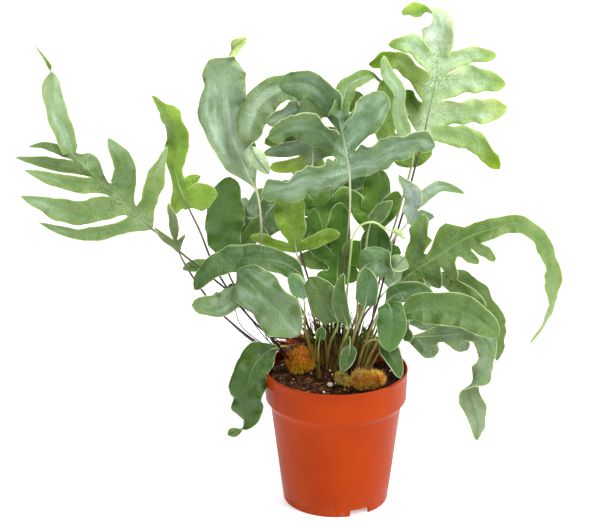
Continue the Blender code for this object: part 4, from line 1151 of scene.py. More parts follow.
class Solid:
    """A mesh in the making: points in millimetres, faces with a material number, and each point's
    place on its leaf and colour."""

    def __init__(self):
        self.points = []
        self.places = []
        self.tones = []
        self.faces = []
        self.slots = []

    def add(self, points, faces, slot, tones, places=None):
        offset = len(self.points)
        self.points += [tuple(p) for p in points]
        self.tones += [tuple(t) for t in tones]
        self.places += [OFF_LEAF] * len(points) if places is None else [tuple(p) for p in places]
        self.faces += [[offset + i for i in face] for face in faces]
        self.slots += list(slot) if hasattr(slot, "__len__") else [slot] * len(faces)

    def tube(self, line, radii, sides, slot, tones):
        """A closed tube, with a colour for each point of its line."""
        verts, faces = tube_mesh(line, radii, sides)
        rings = [tone for tone in tones for k in range(sides)]
        self.add(verts, faces, slot, rings + [tones[0], tones[-1]])

    def piece(self, name, materials, tone_name, place_name=None):
        """The mesh as a shown object."""
        mesh = bpy.data.meshes.new(name)
        mesh.from_pydata([tuple(c * MM for c in p) for p in self.points], [], self.faces)
        mesh.polygons.foreach_set("material_index", np.array(self.slots, np.int32))
        mesh.polygons.foreach_set("use_smooth", np.ones(len(self.faces), bool))
        tones = np.array([(*t, 1.0) for t in self.tones], np.float32)
        tone = mesh.attributes.new(tone_name, "FLOAT_COLOR", "POINT")
        tone.data.foreach_set("color", tones.ravel())
        if place_name:
            place = mesh.attributes.new(place_name, "FLOAT_VECTOR", "POINT")
            place.data.foreach_set("vector", np.array(self.places, np.float32).ravel())
        for finish in materials:
            mesh.materials.append(finish)
        mesh.update()
        return shown(name, mesh)


def place_piece(made, slot, *nodes):
    """The piece rides on the part's one body, and replaces the nodes it dresses."""
    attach(made, "root")
    if nodes:
        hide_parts(*nodes)


def polar(radius, angle):
    return radius * math.cos(angle), radius * math.sin(angle)


def slopes_of(points):
    slopes = np.gradient(points, axis=0)
    return slopes / np.maximum(np.linalg.norm(slopes, axis=1), 1e-9)[:, None]


def around(wide, up, angle):
    """The way that is angle round from wide towards up."""
    return wide * math.cos(angle) + up * math.sin(angle)


def tube_mesh(points, radii, sides, squash=1.0):
    """A closed tube along points, with blunt ends. Its two end points come last."""
    points = np.array(points, float)
    slopes = slopes_of(points)
    normal = np.array((0.3, -0.8, 0.5))
    verts = []
    faces = []
    for i, (point, slope, radius) in enumerate(zip(points, slopes, radii)):
        normal = unit(normal - slope * normal.dot(slope))
        wide = np.cross(slope, normal)
        for k in range(sides):
            verts.append(point + radius * around(wide, normal * squash, 2.0 * math.pi * k / sides))
    for i in range(len(points) - 1):
        for k in range(sides):
            a = i * sides + k
            b = i * sides + (k + 1) % sides
            faces.append([a, b, b + sides, a + sides])
    verts += [points[0] - slopes[0] * radii[0] * 0.6, points[-1] + slopes[-1] * radii[-1] * 0.6]
    low = len(points) * sides
    last = low - sides
    for k in range(sides):
        faces.append([low, (k + 1) % sides, k])
        faces.append([low + 1, last + k, last + (k + 1) % sides])
    return np.array(verts), faces


def vertex_normals(points, faces):
    normals = np.zeros_like(points)
    for face in faces:
        ring = points[face]
        turn = np.zeros(3)
        for a, b in zip(ring, np.roll(ring, -1, axis=0)):
            turn += np.cross(a, b)
        for i in face:
            normals[i] += turn
    return normals / np.maximum(np.linalg.norm(normals, axis=1), 1e-9)[:, None]


def open_edges(faces):
    """The sheet's open edges, each in the direction its face has it."""
    seen = {edge for face in faces for edge in zip(face, face[1:] + face[:1])}
    return sorted((a, b) for a, b in seen if (b, a) not in seen)


UPPER, UNDER, EDGE, STALK = 0, 1, 2, 3
OFF_LEAF = (0.0, 0.0, 9.0)
UNDER_SHADE = np.array((0.80, 0.95, 0.50))
SCALE_COLOUR = (168, 98, 44)
SCALES = 70
SCALY_FOOT = 13.0          # how far up a stalk its scales go


def lobe_tones(sheet, upper, own):
    """The upper side's colour at each point, which turns into a lobe's own further out along it.
    Both colours hold painted light and shade as well as the leaf's own colour.
    """
    tones = np.tile(upper, (len(sheet.points), 1))
    for i, (name, (rib, along, margin)) in enumerate(zip(sheet.lobes, sheet.places)):
        if name in own:
            tones[i] += (srgb(*own[name]) - upper) * smooth(0.0, 16.0, along)
    return tones


def add_blade(solid, sheet, frond):
    """The sheet as a thin closed shell, with the frond's colours at each point. Where the end turns
    over, the underside's colour is what shows past the turn, and the rest of it is darker: painted
    shade where the underside faces down."""
    points = np.array(sheet.points)
    places = np.array(sheet.places)
    share = np.array(sheet.shares)[:, None]
    out = vertex_normals(points, sheet.faces) * 0.5 * BLADE
    upper, under, tip = (srgb(*colour) for colour in frond["look"])
    tips = smooth(0.55, 1.0, share)
    own = dict(enumerate(part.get("look") for part in frond["lobes"]), end=frond["end"])
    own = {name: colour for name, colour in own.items() if colour is not None}
    top = lobe_tones(sheet, upper, own) + (tip - upper) * tips
    low = under + (tip - under) * 0.25 * tips
    if frond["flip"]:
        at_end = np.array([name == "end" for name in sheet.lobes])[:, None]
        # painted shade: the underside short of the turn gets a darker mix of the upper and under
        # colours
        shaded = 0.35 * under + 0.65 * upper * UNDER_SHADE
        low = shaded + (low - shaded) * smooth(frond["flip"] - 0.12, frond["flip"], share) * at_end
    count = len(points)
    back = [[count + i for i in reversed(face)] for face in sheet.faces]
    rim = [[b, a, count + a, count + b] for a, b in open_edges(sheet.faces)]
    slots = [UPPER] * len(back) + [UNDER] * len(back) + [EDGE] * len(rim)
    solid.add(np.concatenate([points + out, points - out]), sheet.faces + back + rim, slots,
              np.concatenate([top, low]), np.concatenate([places, places]))


def add_stalk(solid, frond, ribs):
    """The stalk and the rachis as one tapering tube, sunk a little into what it stands on, and the
    lobes' midribs."""
    axis, blade, lobed = frond_axis(frond)
    start, slope, normal = axis.at(0.0)
    levels = np.concatenate([np.arange(0.0, blade, 3.5), np.arange(blade, axis.length * 0.97, 2.5)])
    line = [start - slope * d for d in (4.0, 2.0)] + [axis.at(s)[0] for s in levels]
    radii = [STALK_RADIUS * 1.25, STALK_RADIUS * 1.2]
    radii += [stalk_radius(s, blade, axis.length) * (1.0 + 0.25 * math.exp(-s / 9.0))
              for s in levels]
    foot, top = (srgb(*colour) for colour in frond["stalk_look"])
    upper = srgb(*frond["look"][0])
    pale = frond["pale"]
    in_blade = pale * top + (1.0 - pale) * upper
    tones = []
    for s in (0.0, 0.0, *levels):
        tone = foot + (top - foot) * smooth(0.55 * blade, blade, s)
        tones.append(tone + (in_blade - tone) * smooth(blade, blade + 18.0, s))
    solid.tube(line, radii, 10, STALK, tones)
    side_tone = 0.5 * pale * top + (1.0 - 0.5 * pale) * upper
    for rib in ribs:
        if len(rib) < 6:
            continue
        count = int(len(rib) * 0.7)
        radii = [LOBE_RIB_RADIUS * (1.0 - 0.5 * i / count) for i in range(count)]
        solid.tube(rib[:count], radii, 6, STALK, [side_tone] * count)


def spike(root, out, along, reach, thick, lean):
    """A thin three-sided spike that leaves root along out and bends towards lean."""
    middle = root + out * reach * 0.6
    tip = root + out * reach * 0.55 + lean * reach * 0.6
    wide = unit(np.cross(out, along))
    points = [base + radius * around(wide, along, 2.0 * math.pi * k / 3)
              for base, radius in ((root, thick), (middle, thick * 0.75)) for k in range(3)]
    faces = [[k, (k + 1) % 3, 3 + (k + 1) % 3, 3 + k] for k in range(3)]
    faces += [[3 + k, 3 + (k + 1) % 3, 6] for k in range(3)] + [[2, 1, 0]]
    return points + [tip], faces


def add_scales(solid, axis, seed):
    """Brown scales round the foot of a stalk."""
    rng = np.random.default_rng(400 + seed)
    for i in range(SCALES):
        point, slope, normal = axis.at(SCALY_FOOT * rng.random() ** 1.7)
        out = around(np.cross(slope, normal), normal, rng.uniform(0, 2 * math.pi))
        lean = unit(0.5 * out + slope + rng.normal(0.0, 0.25, 3))
        points, faces = spike(point + out * STALK_RADIUS, unit(out + 0.8 * slope), slope,
                              rng.uniform(1.2, 3.2), rng.uniform(0.10, 0.2), lean)
        tone = srgb(*SCALE_COLOUR) * rng.uniform(0.4, 1.5)
        solid.add(points, faces, STALK, [tone] * 6 + [np.minimum(tone * 1.7, 1.0)])


def make_frond(frond, ground, materials):
    frond = dict(frond, points=seat(ground, frond["points"]))
    sheet = frond_sheet(frond)
    solid = Solid()
    add_blade(solid, sheet, frond)
    add_stalk(solid, frond, sheet.ribs)
    add_scales(solid, frond_axis(frond)[0], frond["seed"])
    made = solid.piece(frond["name"] + "_leaf", materials, "leaf_tone", "leaf_place")
    place_piece(made, "frond", frond["name"])


# ---- ground

def ground_tree(names):
    """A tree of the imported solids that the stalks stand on."""
    verts = []
    faces = []
    for name in names:
        mesh = frame["nodes"][name].data
        offset = len(verts)
        verts += [v.co.copy() for v in mesh.vertices]
        faces += [[offset + i for i in face.vertices] for face in mesh.polygons]
    return BVHTree.FromPolygons(verts, faces)


def seat(ground, points):
    """The stalk's points with its foot on what is under it, tried at the foot's middle and rim."""
    x, y = points[0][:2]
    slope = unit(np.array(points[1], float) - np.array(points[0], float))
    tilt = math.sqrt(max(0.0, 1.0 - slope[2] ** 2))
    highest = -1e9
    for i in range(9):
        reach = 1.15 if i else 0.0
        dx, dy = polar(reach, i * math.pi / 4)
        start = ((x + dx) * MM, (y + dy) * MM, 0.3)
        hit = ground.ray_cast(Vector(start), Vector((0.0, 0.0, -1.0)))[0]
        if hit:
            highest = max(highest, hit.z / MM)
    return [(x, y, highest + GAP + tilt)] + list(points[1:])


# ---- pot

BAND_FOOT = POT_HEIGHT - BAND_HEIGHT
STEP_FOOT = BAND_FOOT - BAND_CHAMFER
CEILING = CHANNEL_HEIGHT + WALL


def wall_radius(z):
    """The outside of the pot's plain wall at height z."""
    return BASE_RADIUS + (RIM_RADIUS - BAND_STEP - BASE_RADIUS) * z / BAND_FOOT


def fillet(x, z, radius, start, stop, count):
    """Points of an arc in the pot's profile, between two angles in degrees."""
    angles = [math.radians(start + (stop - start) * i / count) for i in range(count + 1)]
    return [(x + dx, z + dz) for dx, dz in (polar(radius, angle) for angle in angles)]


def pot_profile():
    """From the middle of the inner floor out, up the inside, over the rim and down the outside."""
    rim, step = RIM_RADIUS, wall_radius(STEP_FOOT)
    inner_foot = BASE_RADIUS - FOOT_WIDTH
    return [(0.0, WALL), (PAD_RADIUS - WALL - 1.0, WALL), (PAD_RADIUS - WALL, CEILING),
            (wall_radius(CEILING) - WALL, CEILING), (step - WALL, STEP_FOOT),
            (rim - 1.0 - WALL, BAND_FOOT + 0.6), (rim - WALL - 0.1, POT_HEIGHT - 1.4),
            *fillet(rim - 0.9, POT_HEIGHT - 0.9, 0.9, 180, 0, 8),
            (rim - 0.05, POT_HEIGHT - 2.2), (rim - 0.35, POT_HEIGHT - 2.7),
            (rim - 0.45, POT_HEIGHT - 8.0), (rim - 0.95, BAND_FOOT + 1.6),
            *fillet(rim - 2.2, BAND_FOOT + 1.2, 1.2, 0, -58, 5),
            (step + 1.2, STEP_FOOT + 2.6), (step + 0.35, STEP_FOOT + 1.0), (step, STEP_FOOT - 0.8),
            (wall_radius(60.0), 60.0), (wall_radius(30.0), 30.0), (wall_radius(9.2), 9.2),
            (wall_radius(8.8) - 0.12, 8.8), (wall_radius(4.0) - 0.12, 4.0),
            *fillet(BASE_RADIUS - 1.35, 1.5, 1.5, 0, -90, 6),
            (inner_foot, 0.0), (inner_foot - 0.4, CHANNEL_HEIGHT),
            (PAD_RADIUS + 0.6, CHANNEL_HEIGHT), (PAD_RADIUS, 0.0), (0.0, 0.0)]


def notch_cutter(azimuth):
    """A block with rounded corners where a drain notch goes through the foot."""
    shape = bmesh.new()
    bmesh.ops.create_cube(shape, size=1.0)
    size = Vector((12.0, NOTCH_WIDTH, 2 * NOTCH_HEIGHT)) * MM
    bmesh.ops.scale(shape, vec=size, verts=shape.verts)
    upright = [e for e in shape.edges if abs(e.verts[0].co.x - e.verts[1].co.x) > 0.001]
    bmesh.ops.bevel(shape, geom=upright, offset=0.0011, segments=4, affect="EDGES", profile=0.5)
    mesh = bpy.data.meshes.new("notch")
    shape.to_mesh(mesh)
    shape.free()
    cutter = shown("notch", mesh)
    reach = (BASE_RADIUS - FOOT_WIDTH / 2) * MM
    cutter.location = (*polar(reach, azimuth), 0.0)
    cutter.rotation_euler = (0.0, 0.0, azimuth)
    return cutter


def make_pot(finish):
    """The pot, turned from its profile, with its drain notches."""
    mesh = bpy.data.meshes.new("nursery_pot")
    points = [(r * MM, 0.0, z * MM) for r, z in pot_profile()]
    mesh.from_pydata(points, [(i, i + 1) for i in range(len(points) - 1)], [])
    mesh.materials.append(finish)
    pot = shown("nursery_pot", mesh)
    turning = pot.modifiers.new("Screw", "SCREW")
    turning.steps = turning.render_steps = POT_SIDES
    turning.use_merge_vertices = True
    turning.merge_threshold = 0.00001
    turning.use_smooth_shade = True
    azimuths = [NOTCH_AZIMUTH + 360.0 * i / NOTCHES for i in range(NOTCHES)]
    cutters = [notch_cutter(math.radians(azimuth)) for azimuth in azimuths]
    for cutter in cutters:
        cut = pot.modifiers.new("Notch", "BOOLEAN")
        cut.operation = "DIFFERENCE"
        cut.solver = "EXACT"
        cut.object = cutter
    bpy.context.view_layer.update()
    graph = bpy.context.evaluated_depsgraph_get()
    mesh = bpy.data.meshes.new_from_object(pot.evaluated_get(graph))
    pot.modifiers.clear()
    pot.data = mesh
    for cutter in cutters:
        bpy.data.objects.remove(cutter)
    mesh.shade_smooth()
    mesh.set_sharp_from_angle(angle=math.radians(40))
    place_piece(pot, "pot_plastic", "pot")


# ---- soil

DARK_SOIL = srgb(24, 15, 8)
RED_SOIL = srgb(92, 44, 18)
PALE_SOIL = srgb(180, 128, 72)
SOIL_REACH = RIM_RADIUS - 4.0
CRUMBS = 2300
FIBRES = 1500
GRAINS = 16                # of perlite, besides those that the photo shows


def soil_height(x, y):
    """The soil's surface, in millimetres: gentle mounds, then crumbs, lower by the wall."""
    at = Vector((x, y, 3.0))
    mounds = 1.6 * noise.noise(at / 19.0)
    crumbs = 1.1 * noise.noise(at / 5.0) + 0.8 * noise.noise(at / 2.1)
    wall = 1.8 * smooth(46.0, 57.0, math.hypot(x, y))
    heap = 5.5 * smooth(6.0, 44.0, y + 0.25 * abs(x))
    return SOIL_TOP + mounds + crumbs - wall + heap


def soil_tone(rng):
    pick = rng.random()
    if pick < 0.62:
        return DARK_SOIL * rng.uniform(0.6, 1.5)
    if pick < 0.93:
        return RED_SOIL * rng.uniform(0.5, 1.2)
    return PALE_SOIL * rng.uniform(0.5, 1.1)


def add_soil_body(solid):
    """The fill: a rough top, and plain sides and floor inside the pot."""
    rings = 46
    sides = 150
    inside = WALL + GAP
    floor = CEILING + GAP
    points = [(0.0, 0.0, soil_height(0.0, 0.0))]
    for i in range(1, rings + 1):
        r = (RIM_RADIUS - 0.8 - inside) * (i / rings) ** 0.8
        for k in range(sides):
            x, y = polar(r, 2.0 * math.pi * (k + 0.5 * (i % 2)) / sides)
            points.append((x, y, soil_height(x, y)))
    for r, z in ((RIM_RADIUS - 1.0, BAND_FOOT + 0.6), (wall_radius(STEP_FOOT), STEP_FOOT),
                 (wall_radius(floor), floor)):
        points += [(*polar(r - inside, 2.0 * math.pi * k / sides), z) for k in range(sides)]
    points.append((0.0, 0.0, floor))
    faces = [[0, 1 + k, 1 + (k + 1) % sides] for k in range(sides)]
    for i in range(rings + 2):
        for k in range(sides):
            a = 1 + i * sides + k
            b = 1 + i * sides + (k + 1) % sides
            faces.append([a, a + sides, b + sides, b])
    last = 1 + (rings + 2) * sides
    faces += [[len(points) - 1, last + (k + 1) % sides, last + k] for k in range(sides)]
    shares = [0.5 + 0.5 * noise.noise(Vector(p) / 4.0 + Vector((40.0, 0.0, 0.0))) for p in points]
    tones = [DARK_SOIL + (RED_SOIL - DARK_SOIL) * share * 0.8 for share in shares]
    solid.add(points, faces, 0, tones)


def lump(radius, squash, seed, subdivisions):
    """A rough pebble of a shape, as points and faces."""
    shape = bmesh.new()
    bmesh.ops.create_icosphere(shape, subdivisions=subdivisions, radius=1.0)
    points = []
    for v in shape.verts:
        rough = 1.0 + 0.55 * noise.noise(v.co * 1.4 + Vector((seed * 3.7, seed * 1.3, seed)))
        points.append(np.array(v.co * rough) * radius * np.array(squash))
    faces = [[v.index for v in face.verts] for face in shape.faces]
    shape.free()
    return np.array(points), faces


def spun(points, angle, tilt):
    """The points tilted about x, then turned about z."""
    c, s = math.cos(angle), math.sin(angle)
    turn = np.array([[c, -s, 0.0], [s, c, 0.0], [0.0, 0.0, 1.0]])
    c, s = math.cos(tilt), math.sin(tilt)
    lean = np.array([[1.0, 0.0, 0.0], [0.0, c, -s], [0.0, s, c]])
    return points @ lean.T @ turn.T


def random_spot(rng, reach):
    return polar(reach * math.sqrt(rng.random()), rng.uniform(0, 2 * math.pi))


def add_crumb(solid, rng, seed):
    x, y = random_spot(rng, SOIL_REACH)
    size = 0.45 + 1.5 * rng.random() ** 3
    squash = (1.0, rng.uniform(0.6, 1.0), rng.uniform(0.4, 0.85))
    points, faces = lump(size, squash, seed, 2 if size > 1.3 else 1)
    points = spun(points, rng.uniform(0, 6.3), rng.uniform(-0.5, 0.5))
    points += np.array((x, y, soil_height(x, y) + 0.25 * size))
    solid.add(points, faces, 0, [soil_tone(rng)] * len(points))


def add_fibre(solid, rng):
    """A curly fibre of peat, which stays inside the pot."""
    x, y = random_spot(rng, SOIL_REACH - 4.0)
    heading = rng.uniform(0, 2 * math.pi)
    curl = rng.uniform(-0.5, 0.5)
    length = rng.uniform(3.0, 13.0)
    lift = rng.uniform(0.2, 1.3)
    line = []
    count = 7
    for k in range(count):
        line.append((x, y, soil_height(x, y) + 0.3 + lift * math.sin(math.pi * k / (count - 1))))
        heading += curl + rng.uniform(-0.35, 0.35)
        x += math.cos(heading) * length / count
        y += math.sin(heading) * length / count
        far = max(1.0, math.hypot(x, y) / SOIL_REACH)
        x, y = x / far, y / far
    thick = rng.uniform(0.10, 0.24)
    tone = (RED_SOIL if rng.random() < 0.65 else PALE_SOIL) * rng.uniform(0.5, 1.25)
    solid.tube(line, [thick * (1.0 - 0.5 * k / count) for k in range(count)], 4, 0, [tone] * count)


def make_soil(finish):
    rng = np.random.default_rng(11)
    solid = Solid()
    add_soil_body(solid)
    for i in range(CRUMBS):
        add_crumb(solid, rng, i)
    for i in range(FIBRES):
        add_fibre(solid, rng)
    place_piece(solid.piece("potting_soil", [finish], "soil_tone"), "soil", "soil")


def make_perlite(finish):
    """White grains: the larger ones where the photo shows them, the rest anywhere."""
    rng = np.random.default_rng(5)
    solid = Solid()
    spots = [(-5.0, 14.0, 1.6), (-3.0, 8.5, 1.2), (-5.0, -14.0, 2.6), (-18.0, 36.0, 1.5),
             (-1.0, -10.0, 1.3), (46.0, 10.0, 1.2)]
    for i in range(GRAINS):
        angle = rng.uniform(0, 2 * math.pi)
        r = 50.0 * math.sqrt(rng.random())
        spots.append((*polar(r, angle), rng.uniform(0.6, 1.2)))
    for i, (x, y, size) in enumerate(spots):
        points, faces = lump(size, (1.0, 0.8, 0.75), 100 + i, 3)
        points = spun(points, i * 1.7, 0.4) + np.array((x, y, soil_height(x, y) + 0.55 * size))
        solid.add(points, faces, 0, [(1.0, 1.0, 1.0)] * len(points))
    place_piece(solid.piece("perlite_grit", [finish], "soil_tone"), "soil")


# ---- rhizomes

FUR_DARK = srgb(110, 60, 20)
FUR_GOLD = srgb(255, 150, 38)
FUR_RUST = srgb(196, 92, 34)
FUR_PALE = srgb(255, 236, 170)
FUR_DEPTH = 2.6            # how far the core lies inside a stem's own radius
HAIR_STEP = 0.9            # between the points of a stem's line
CLUMP_HAIRS = 14000
FRONT_HAIRS = 13000
STUBS = 230                # thin stalks in the bunch


def rounded(start, end, radius):
    """A blunt end for a branch: its radius dies away over its own length beyond end."""
    way = unit(np.array(end, float) - np.array(start, float))
    return [(*(np.array(end) + way * radius * share), radius * part)
            for share, part in ((0.0, 1.0), (0.5, 0.87), (0.85, 0.53), (1.0, 0.2))]


def rhizome_branches():
    """The same branches as the solids', as (x, y, z, radius) points."""
    rest = SOIL_TOP + GAP
    clump = [
        [(-14, 26, rest + 12.5, 12), (-24, 19, rest + 11.6, 11.4)]
        + rounded((-24, 19, rest + 11.6), (-30, 13, rest + 11.2), 11.0),
        [(-18, 31, rest + 13, 8), (-12, 30, rest + 15, 14), (0, 29, rest + 16, 14),
         (12, 28, rest + 13, 12), (22, 26, rest + 10, 9), (28, 26, rest + 8, 4)],
        [(-14, 31, rest + 16, 9), (-28, 31, rest + 17, 9.5)]
        + rounded((-28, 31, rest + 17), (-39, 29, rest + 18), 8.0),
        [(16, 26, rest + 12, 8), (34, 25, rest + 13, 7.0)]
        + rounded((34, 25, rest + 13), (47, 20, rest + 18), 5.5),
    ]
    front = [
        rounded((9, -21, rest + 8), (3, -19, rest + 9.0), 4.4)[::-1]
        + [(8, -20, rest + 6.6, 3.0), (12, -21.5, rest + 5.6, 3.2), (19, -22.5, rest + 8.2, 7.8)]
        + rounded((24, -22.5, rest + 8.4), (32, -21, rest + 8.2), 7.4),
        [(17, -22, rest + 11, 4.4), (18.5, -25, rest + 13.5, 3.4), (19, -27, rest + 16.0, 1.8)],
    ]
    return clump, front


def branch_line(points, seed):
    """Close points along a branch, with their lumpy radii."""
    points = np.array(points, float)
    path = Path(points[:, :3], (0.0, 0.1, 1.0))
    levels = np.arange(0.0, path.length, HAIR_STEP)
    line = np.array([path.at(s)[0] for s in levels])
    lumps = [1.0 + 0.5 * noise.noise(Vector(p) / 8.0 + Vector((seed, 0.0, 0.0))) for p in line]
    return line, np.interp(levels, path.knots, points[:, 3]) * np.array(lumps)


def inside_any(point, branches, skip):
    """Whether a point lies well inside another branch."""
    return any((np.linalg.norm(line - point, axis=1) - radii).min() < -0.8
               for i, (line, radii) in enumerate(branches) if i != skip)


def add_stub(solid, line, thick, foot, top):
    """The lower part of a thin stalk in the bunch."""
    count = len(line)
    solid.tube(line, [thick * (1.0 - 0.35 * k / count) for k in range(count)], 6, 0,
               [foot + (top - foot) * k / (count - 1) for k in range(count)])


def bunch_line(rng):
    """A thin stalk's line: up from the clump, fanning out and bending a little."""
    x, y = rng.uniform(-18.0, 22.0), rng.uniform(8.0, 38.0)
    across = 0.02 * x + rng.normal(0.0, 0.14)
    heading = np.array((across, -0.010 * (y - 16.0) + rng.normal(0.0, 0.16), 1.0))
    sway = rng.normal(0.0, 0.06, 3)
    length = rng.uniform(32.0, 60.0 - abs(x + 4.0))
    line = [np.array((x, y, SOIL_TOP + 2.0))]
    for k in range(9):
        line.append(line[-1] + unit(heading + sway * (k - 3) * 0.6) * length / 9)
    return line


# bare dark stalks at the left, from foot to top
LEFT_STALKS = [
    [(-34, 30, 127), (-46, 24, 130), (-75, 18, 166), (-84, 16, 180)],
    [(-34, 28, 125), (-50, 22, 127), (-76, 14, 163), (-83, 14, 176)],
    [(-34, 30, 124), (-53, 20, 127), (-79, 14, 149), (-85, 12, 168)],
    [(-36, 28, 124), (-62, 18, 129), (-96, 10, 162), (-104, 10, 172)],
    [(-34, 32, 124), (-53, 26, 127), (-63, 22, 150), (-68, 20, 172)],
    [(-34, 32, 126), (-54, 24, 133), (-69, 18, 158), (-75, 18, 176)],
]


def add_stubs(solid, rng):
    """Thin stalks between the fronds' own: brown and green in the bunch, black at the left."""
    for i in range(STUBS):
        shade = 0.35 + 1.6 * rng.random() ** 1.6
        top = (srgb(134, 160, 70) if rng.random() < 0.7 else srgb(120, 96, 54)) * shade
        add_stub(solid, bunch_line(rng), rng.uniform(0.35, 0.7), srgb(124, 92, 44) * shade, top)
    for points in LEFT_STALKS:
        path = Path(points, (0.0, -1.0, 0.2))
        line = [path.at(s)[0] for s in np.linspace(0.0, path.length, 14)]
        add_stub(solid, line, rng.uniform(0.5, 0.75), srgb(40, 30, 24), srgb(78, 66, 48))


def hair(rng, stem, slopes, weights, seed):
    """A hair's root on a stem, the way out of it there, the stem's slope, its reach and how thick
    the tufts are there."""
    line, radii, core = stem
    i = rng.choice(len(line), p=weights)
    angle = rng.uniform(0, 2 * math.pi)
    side = unit(np.cross(slopes[i], (0.2, 0.1, 1.0)))
    out = around(side, np.cross(side, slopes[i]), angle)
    cap = max(0.0, 1.0 - (len(line) - 1 - i) * HAIR_STEP / max(radii.max() * 0.9, 1.0))
    out = unit(out + slopes[i] * cap * 1.1)
    root = line[i] + out * core[i] * 0.95
    tuft = noise.noise(Vector(root) / 1.5 + Vector((seed, 3.0, 0.0)))
    reach = max(radii[i] - core[i], 1.2) * rng.uniform(0.5, 1.2) * (1.0 + 1.1 * tuft)
    return root, out, slopes[i], max(0.4, reach) + 3.0 * rng.random() ** 6, tuft


def make_rhizome(name, node_name, branches, tints, finish, hairs, seed, bunch=False):
    """Rough stems with a coat of scales, each a thin bent spike. tints gives each branch's colour
    and the place and colour of its growing tip."""
    rng = np.random.default_rng(seed)
    solid = Solid()
    stems = [branch_line(points, seed) for points in branches]
    areas = [np.sum(radii) for line, radii in stems]
    for b, ((line, radii), (body, bud, bud_tone)) in enumerate(zip(stems, tints)):
        core = np.maximum(radii - FUR_DEPTH, 0.5)
        verts, faces = tube_mesh(line, core, 22)
        shifts = [Vector((0, 0, 0)), Vector((9.0, 0, 0)), Vector((0, 9.0, 0))]
        rough = [v + 0.8 * np.array([noise.noise(Vector(v) / 3.5 + shift) for shift in shifts])
                 for v in verts]
        # the core is darker than the hairs over it: painted shade deep in the coat
        solid.add(rough, faces, 0, [body * 0.8] * len(verts))
        slopes = slopes_of(line)
        weights = radii / radii.sum()
        for h in range(int(hairs * areas[b] / sum(areas))):
            root, out, slope, reach, tuft = hair(rng, (line, radii, core), slopes, weights, seed)
            end = root + out * reach
            if end[2] < SOIL_TOP - 0.5 or inside_any(end, stems, b):
                continue
            lean = unit(out + 0.35 * slope + rng.normal(0.0, 0.5, 3))
            points, faces = spike(root, out, slope, reach, rng.uniform(0.13, 0.26), lean)
            near = math.exp(-(np.linalg.norm(root - np.array(bud)) / 6.5) ** 2) if bud else 0.0
            patch = 0.7 * noise.noise(Vector(root) / 3.2)
            tone = body * rng.uniform(0.9, 1.9) * (1.0 + patch + 0.5 * tuft)
            tone = tone + (bud_tone * rng.uniform(0.7, 1.2) - tone) * near
            pale = min(max(0.4 + 1.4 * tuft, 0.0), 0.9)
            tip = (1.0 - pale) * tone + pale * (FUR_PALE + near * (bud_tone - FUR_PALE))
            # each hair is darker at its root, painted shade deep in the coat, than further out
            solid.add(points, faces, 0, [tone * 0.6] * 3 + [np.minimum(tone * 1.8, 1.0)] * 3
                      + [np.minimum(tip, 1.0)])
    if bunch:
        add_stubs(solid, rng)
    place_piece(solid.piece(name, [finish], "fur_tone"), "rhizome_fur", node_name)


def make_rhizomes(finish):
    clump, front = rhizome_branches()
    tints = [(0.9 * FUR_GOLD + 0.1 * FUR_DARK, (-28, 5, SOIL_TOP + 11), srgb(236, 226, 40)),
             (0.6 * FUR_RUST + 0.4 * FUR_DARK, None, FUR_PALE),
             (FUR_RUST, (-46, 28, SOIL_TOP + 18), srgb(190, 100, 40)),
             (0.7 * FUR_RUST + 0.3 * FUR_DARK, (51, 19, SOIL_TOP + 20), srgb(150, 70, 50))]
    make_rhizome("rhizome_clump_fur", "rhizome_clump", clump, tints, finish, CLUMP_HAIRS,
                 21, True)
    tints = [(FUR_GOLD, (4, -22, SOIL_TOP + 9), srgb(222, 240, 130)),
             (srgb(236, 196, 110), (20, -25, SOIL_TOP + 15), srgb(250, 224, 142))]
    make_rhizome("rhizome_front_fur", "rhizome_front", front, tints, finish, FRONT_HAIRS,
                 22)


# ---- fiddlehead

FIDDLEHEAD = [(6, 11, 108), (7, 2, 150), (9, -9, 195), (11, -14, 222), (13, -15, 239),
              (20, -15, 249), (30, -15, 251), (38.5, -15, 246), (45.5, -15, 243)]
# the folded bud at its end, as lines of (x, y, z, radius)
BUDS = [
    [(44, -15, 243.4, 0.8), (47, -15.2, 243.2, 1.9), (49.5, -15.5, 242.2, 2.5),
     (51.6, -15.3, 240.6, 2.2), (52.8, -15.0, 238.9, 1.2), (54.4, -14.8, 237.6, 1.5),
     (55.6, -14.8, 236.8, 0.5)],
    [(46, -16.4, 243.2, 0.5), (48.2, -17.2, 243.6, 1.1), (50.2, -17.2, 242.6, 1.0),
     (51.8, -16.6, 241.2, 0.4)],
    [(46.4, -13.8, 243.4, 0.5), (48.6, -13.2, 243.9, 1.0), (50.8, -13.4, 243.4, 0.8),
     (53.0, -13.8, 243.2, 0.3)],
]


def make_fiddlehead(ground, materials):
    """The young frond, still coiled: a bare stem that arches over and ends in a folded bud."""
    solid = Solid()
    path = Path(seat(ground, FIDDLEHEAD), (0.0, -1.0, 0.3))
    levels = np.arange(0.0, path.length, 2.0)
    foot, top = srgb(112, 124, 60), srgb(166, 194, 120)
    line = [path.at(0.0)[0] - np.array((0, 0, 3.0))] + [path.at(s)[0] for s in levels]
    solid.tube(line, [1.3] + [1.0 - 0.15 * s / path.length for s in levels], 10, STALK,
               [foot + (top - foot) * smooth(0.2, 0.8, s / path.length) for s in (0.0, *levels)])
    for bud in BUDS:
        bud = np.array(bud)
        curve = Path(bud[:, :3], (0.0, -1.0, 0.3))
        levels = np.linspace(0.0, curve.length, 16)
        radii = np.interp(levels, curve.knots, bud[:, 3])
        verts, faces = tube_mesh([curve.at(s)[0] for s in levels], radii, 12, 0.8)
        bumps = [(noise.noise(Vector(v) * 1.1), 0.0, noise.noise(Vector(v) * 1.3)) for v in verts]
        rough = verts + 0.25 * np.array(bumps)
        solid.add(rough, faces, STALK, [srgb(170, 198, 130)] * len(verts))
    made = solid.piece("fiddlehead_bud", materials, "leaf_tone", "leaf_place")
    place_piece(made, "frond", "fiddlehead")


# ---- room

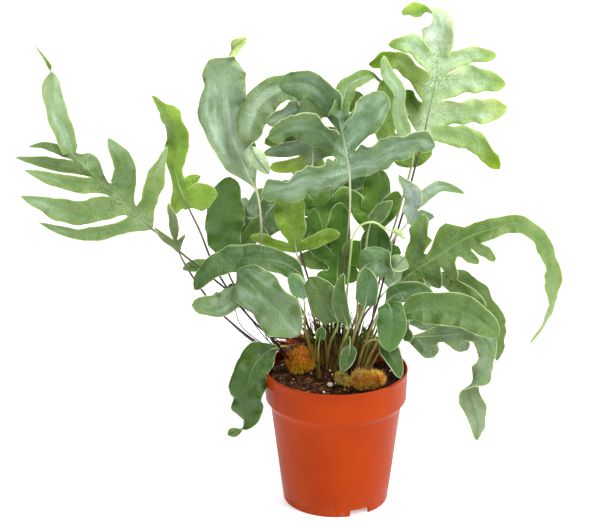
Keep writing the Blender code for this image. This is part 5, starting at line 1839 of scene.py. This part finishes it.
CAMERA = (-0.0301, -1.8453, 0.8889)
CAMERA_DOWN = 20.2         # degrees below level
TARGET = (0.0, 0.0, 0.2)
# place, what it faces, size in metres and watts
LIGHTS = {"key": ((0.75, -0.75, 1.95), TARGET, 0.55, 38.0),
          "top": ((-0.2, 0.7, 2.0), TARGET, 0.7, 24.0),
          "right": ((1.6, -1.1, 0.8), TARGET, 0.9, 12.0),
          "front": ((-0.1, -1.9, 1.55), TARGET, 0.5, 24.0),
          "backdrop": ((0.0, 3.2, 2.4), (0.0, 2.6, 0.0), 2.5, 60.0)}


def make_room():
    scene = bpy.context.scene
    world = bpy.data.worlds.new("studio")
    world.use_nodes = True
    world.node_tree.nodes["Background"].inputs["Color"].default_value = (1.0, 1.0, 1.0, 1.0)
    world.node_tree.nodes["Background"].inputs["Strength"].default_value = 0.14
    scene.world = world
    for name, (place, target, size, power) in LIGHTS.items():
        lamp = bpy.data.lights.new(name, "AREA")
        lamp.shape = "DISK"
        lamp.size = size
        lamp.energy = power
        made = shown(name, lamp)
        made.location = place
        made.rotation_euler = (Vector(target) - Vector(place)).to_track_quat("-Z", "Y").to_euler()

    shape = bmesh.new()
    bmesh.ops.create_circle(shape, cap_ends=True, radius=6.0, segments=96)
    mesh = bpy.data.meshes.new("floor")
    shape.to_mesh(mesh)
    shape.free()
    mesh.materials.append(floor_material())
    shown("floor", mesh)

    lens = bpy.data.cameras.new("camera")
    lens.lens = 143.6
    lens.sensor_width = 36.0
    lens.clip_start = 0.05
    lens.clip_end = 50.0
    scene.camera = shown("camera", lens)
    scene.camera.location = CAMERA
    scene.camera.rotation_euler = (math.radians(90.0 - CAMERA_DOWN), 0.0, 0.0)
    scene.view_settings.view_transform = "Standard"
    scene.view_settings.look = "None"
    scene.view_settings.exposure = 0.0
    scene.view_settings.gamma = 1.0


def main():
    ground = ground_tree(["soil", "rhizome_clump", "rhizome_front"])
    materials = [leaf_material("leaf_upper", True), leaf_material("leaf_under", False),
                 rim_material(), stalk_material()]
    for frond in read_fronds():
        make_frond(frond, ground, materials)
    make_fiddlehead(ground, materials)
    make_pot(pot_material())
    make_soil(soil_material())
    make_perlite(grit_material())
    make_rhizomes(fur_material())
    make_room()


main()
bpy.context.view_layer.update()
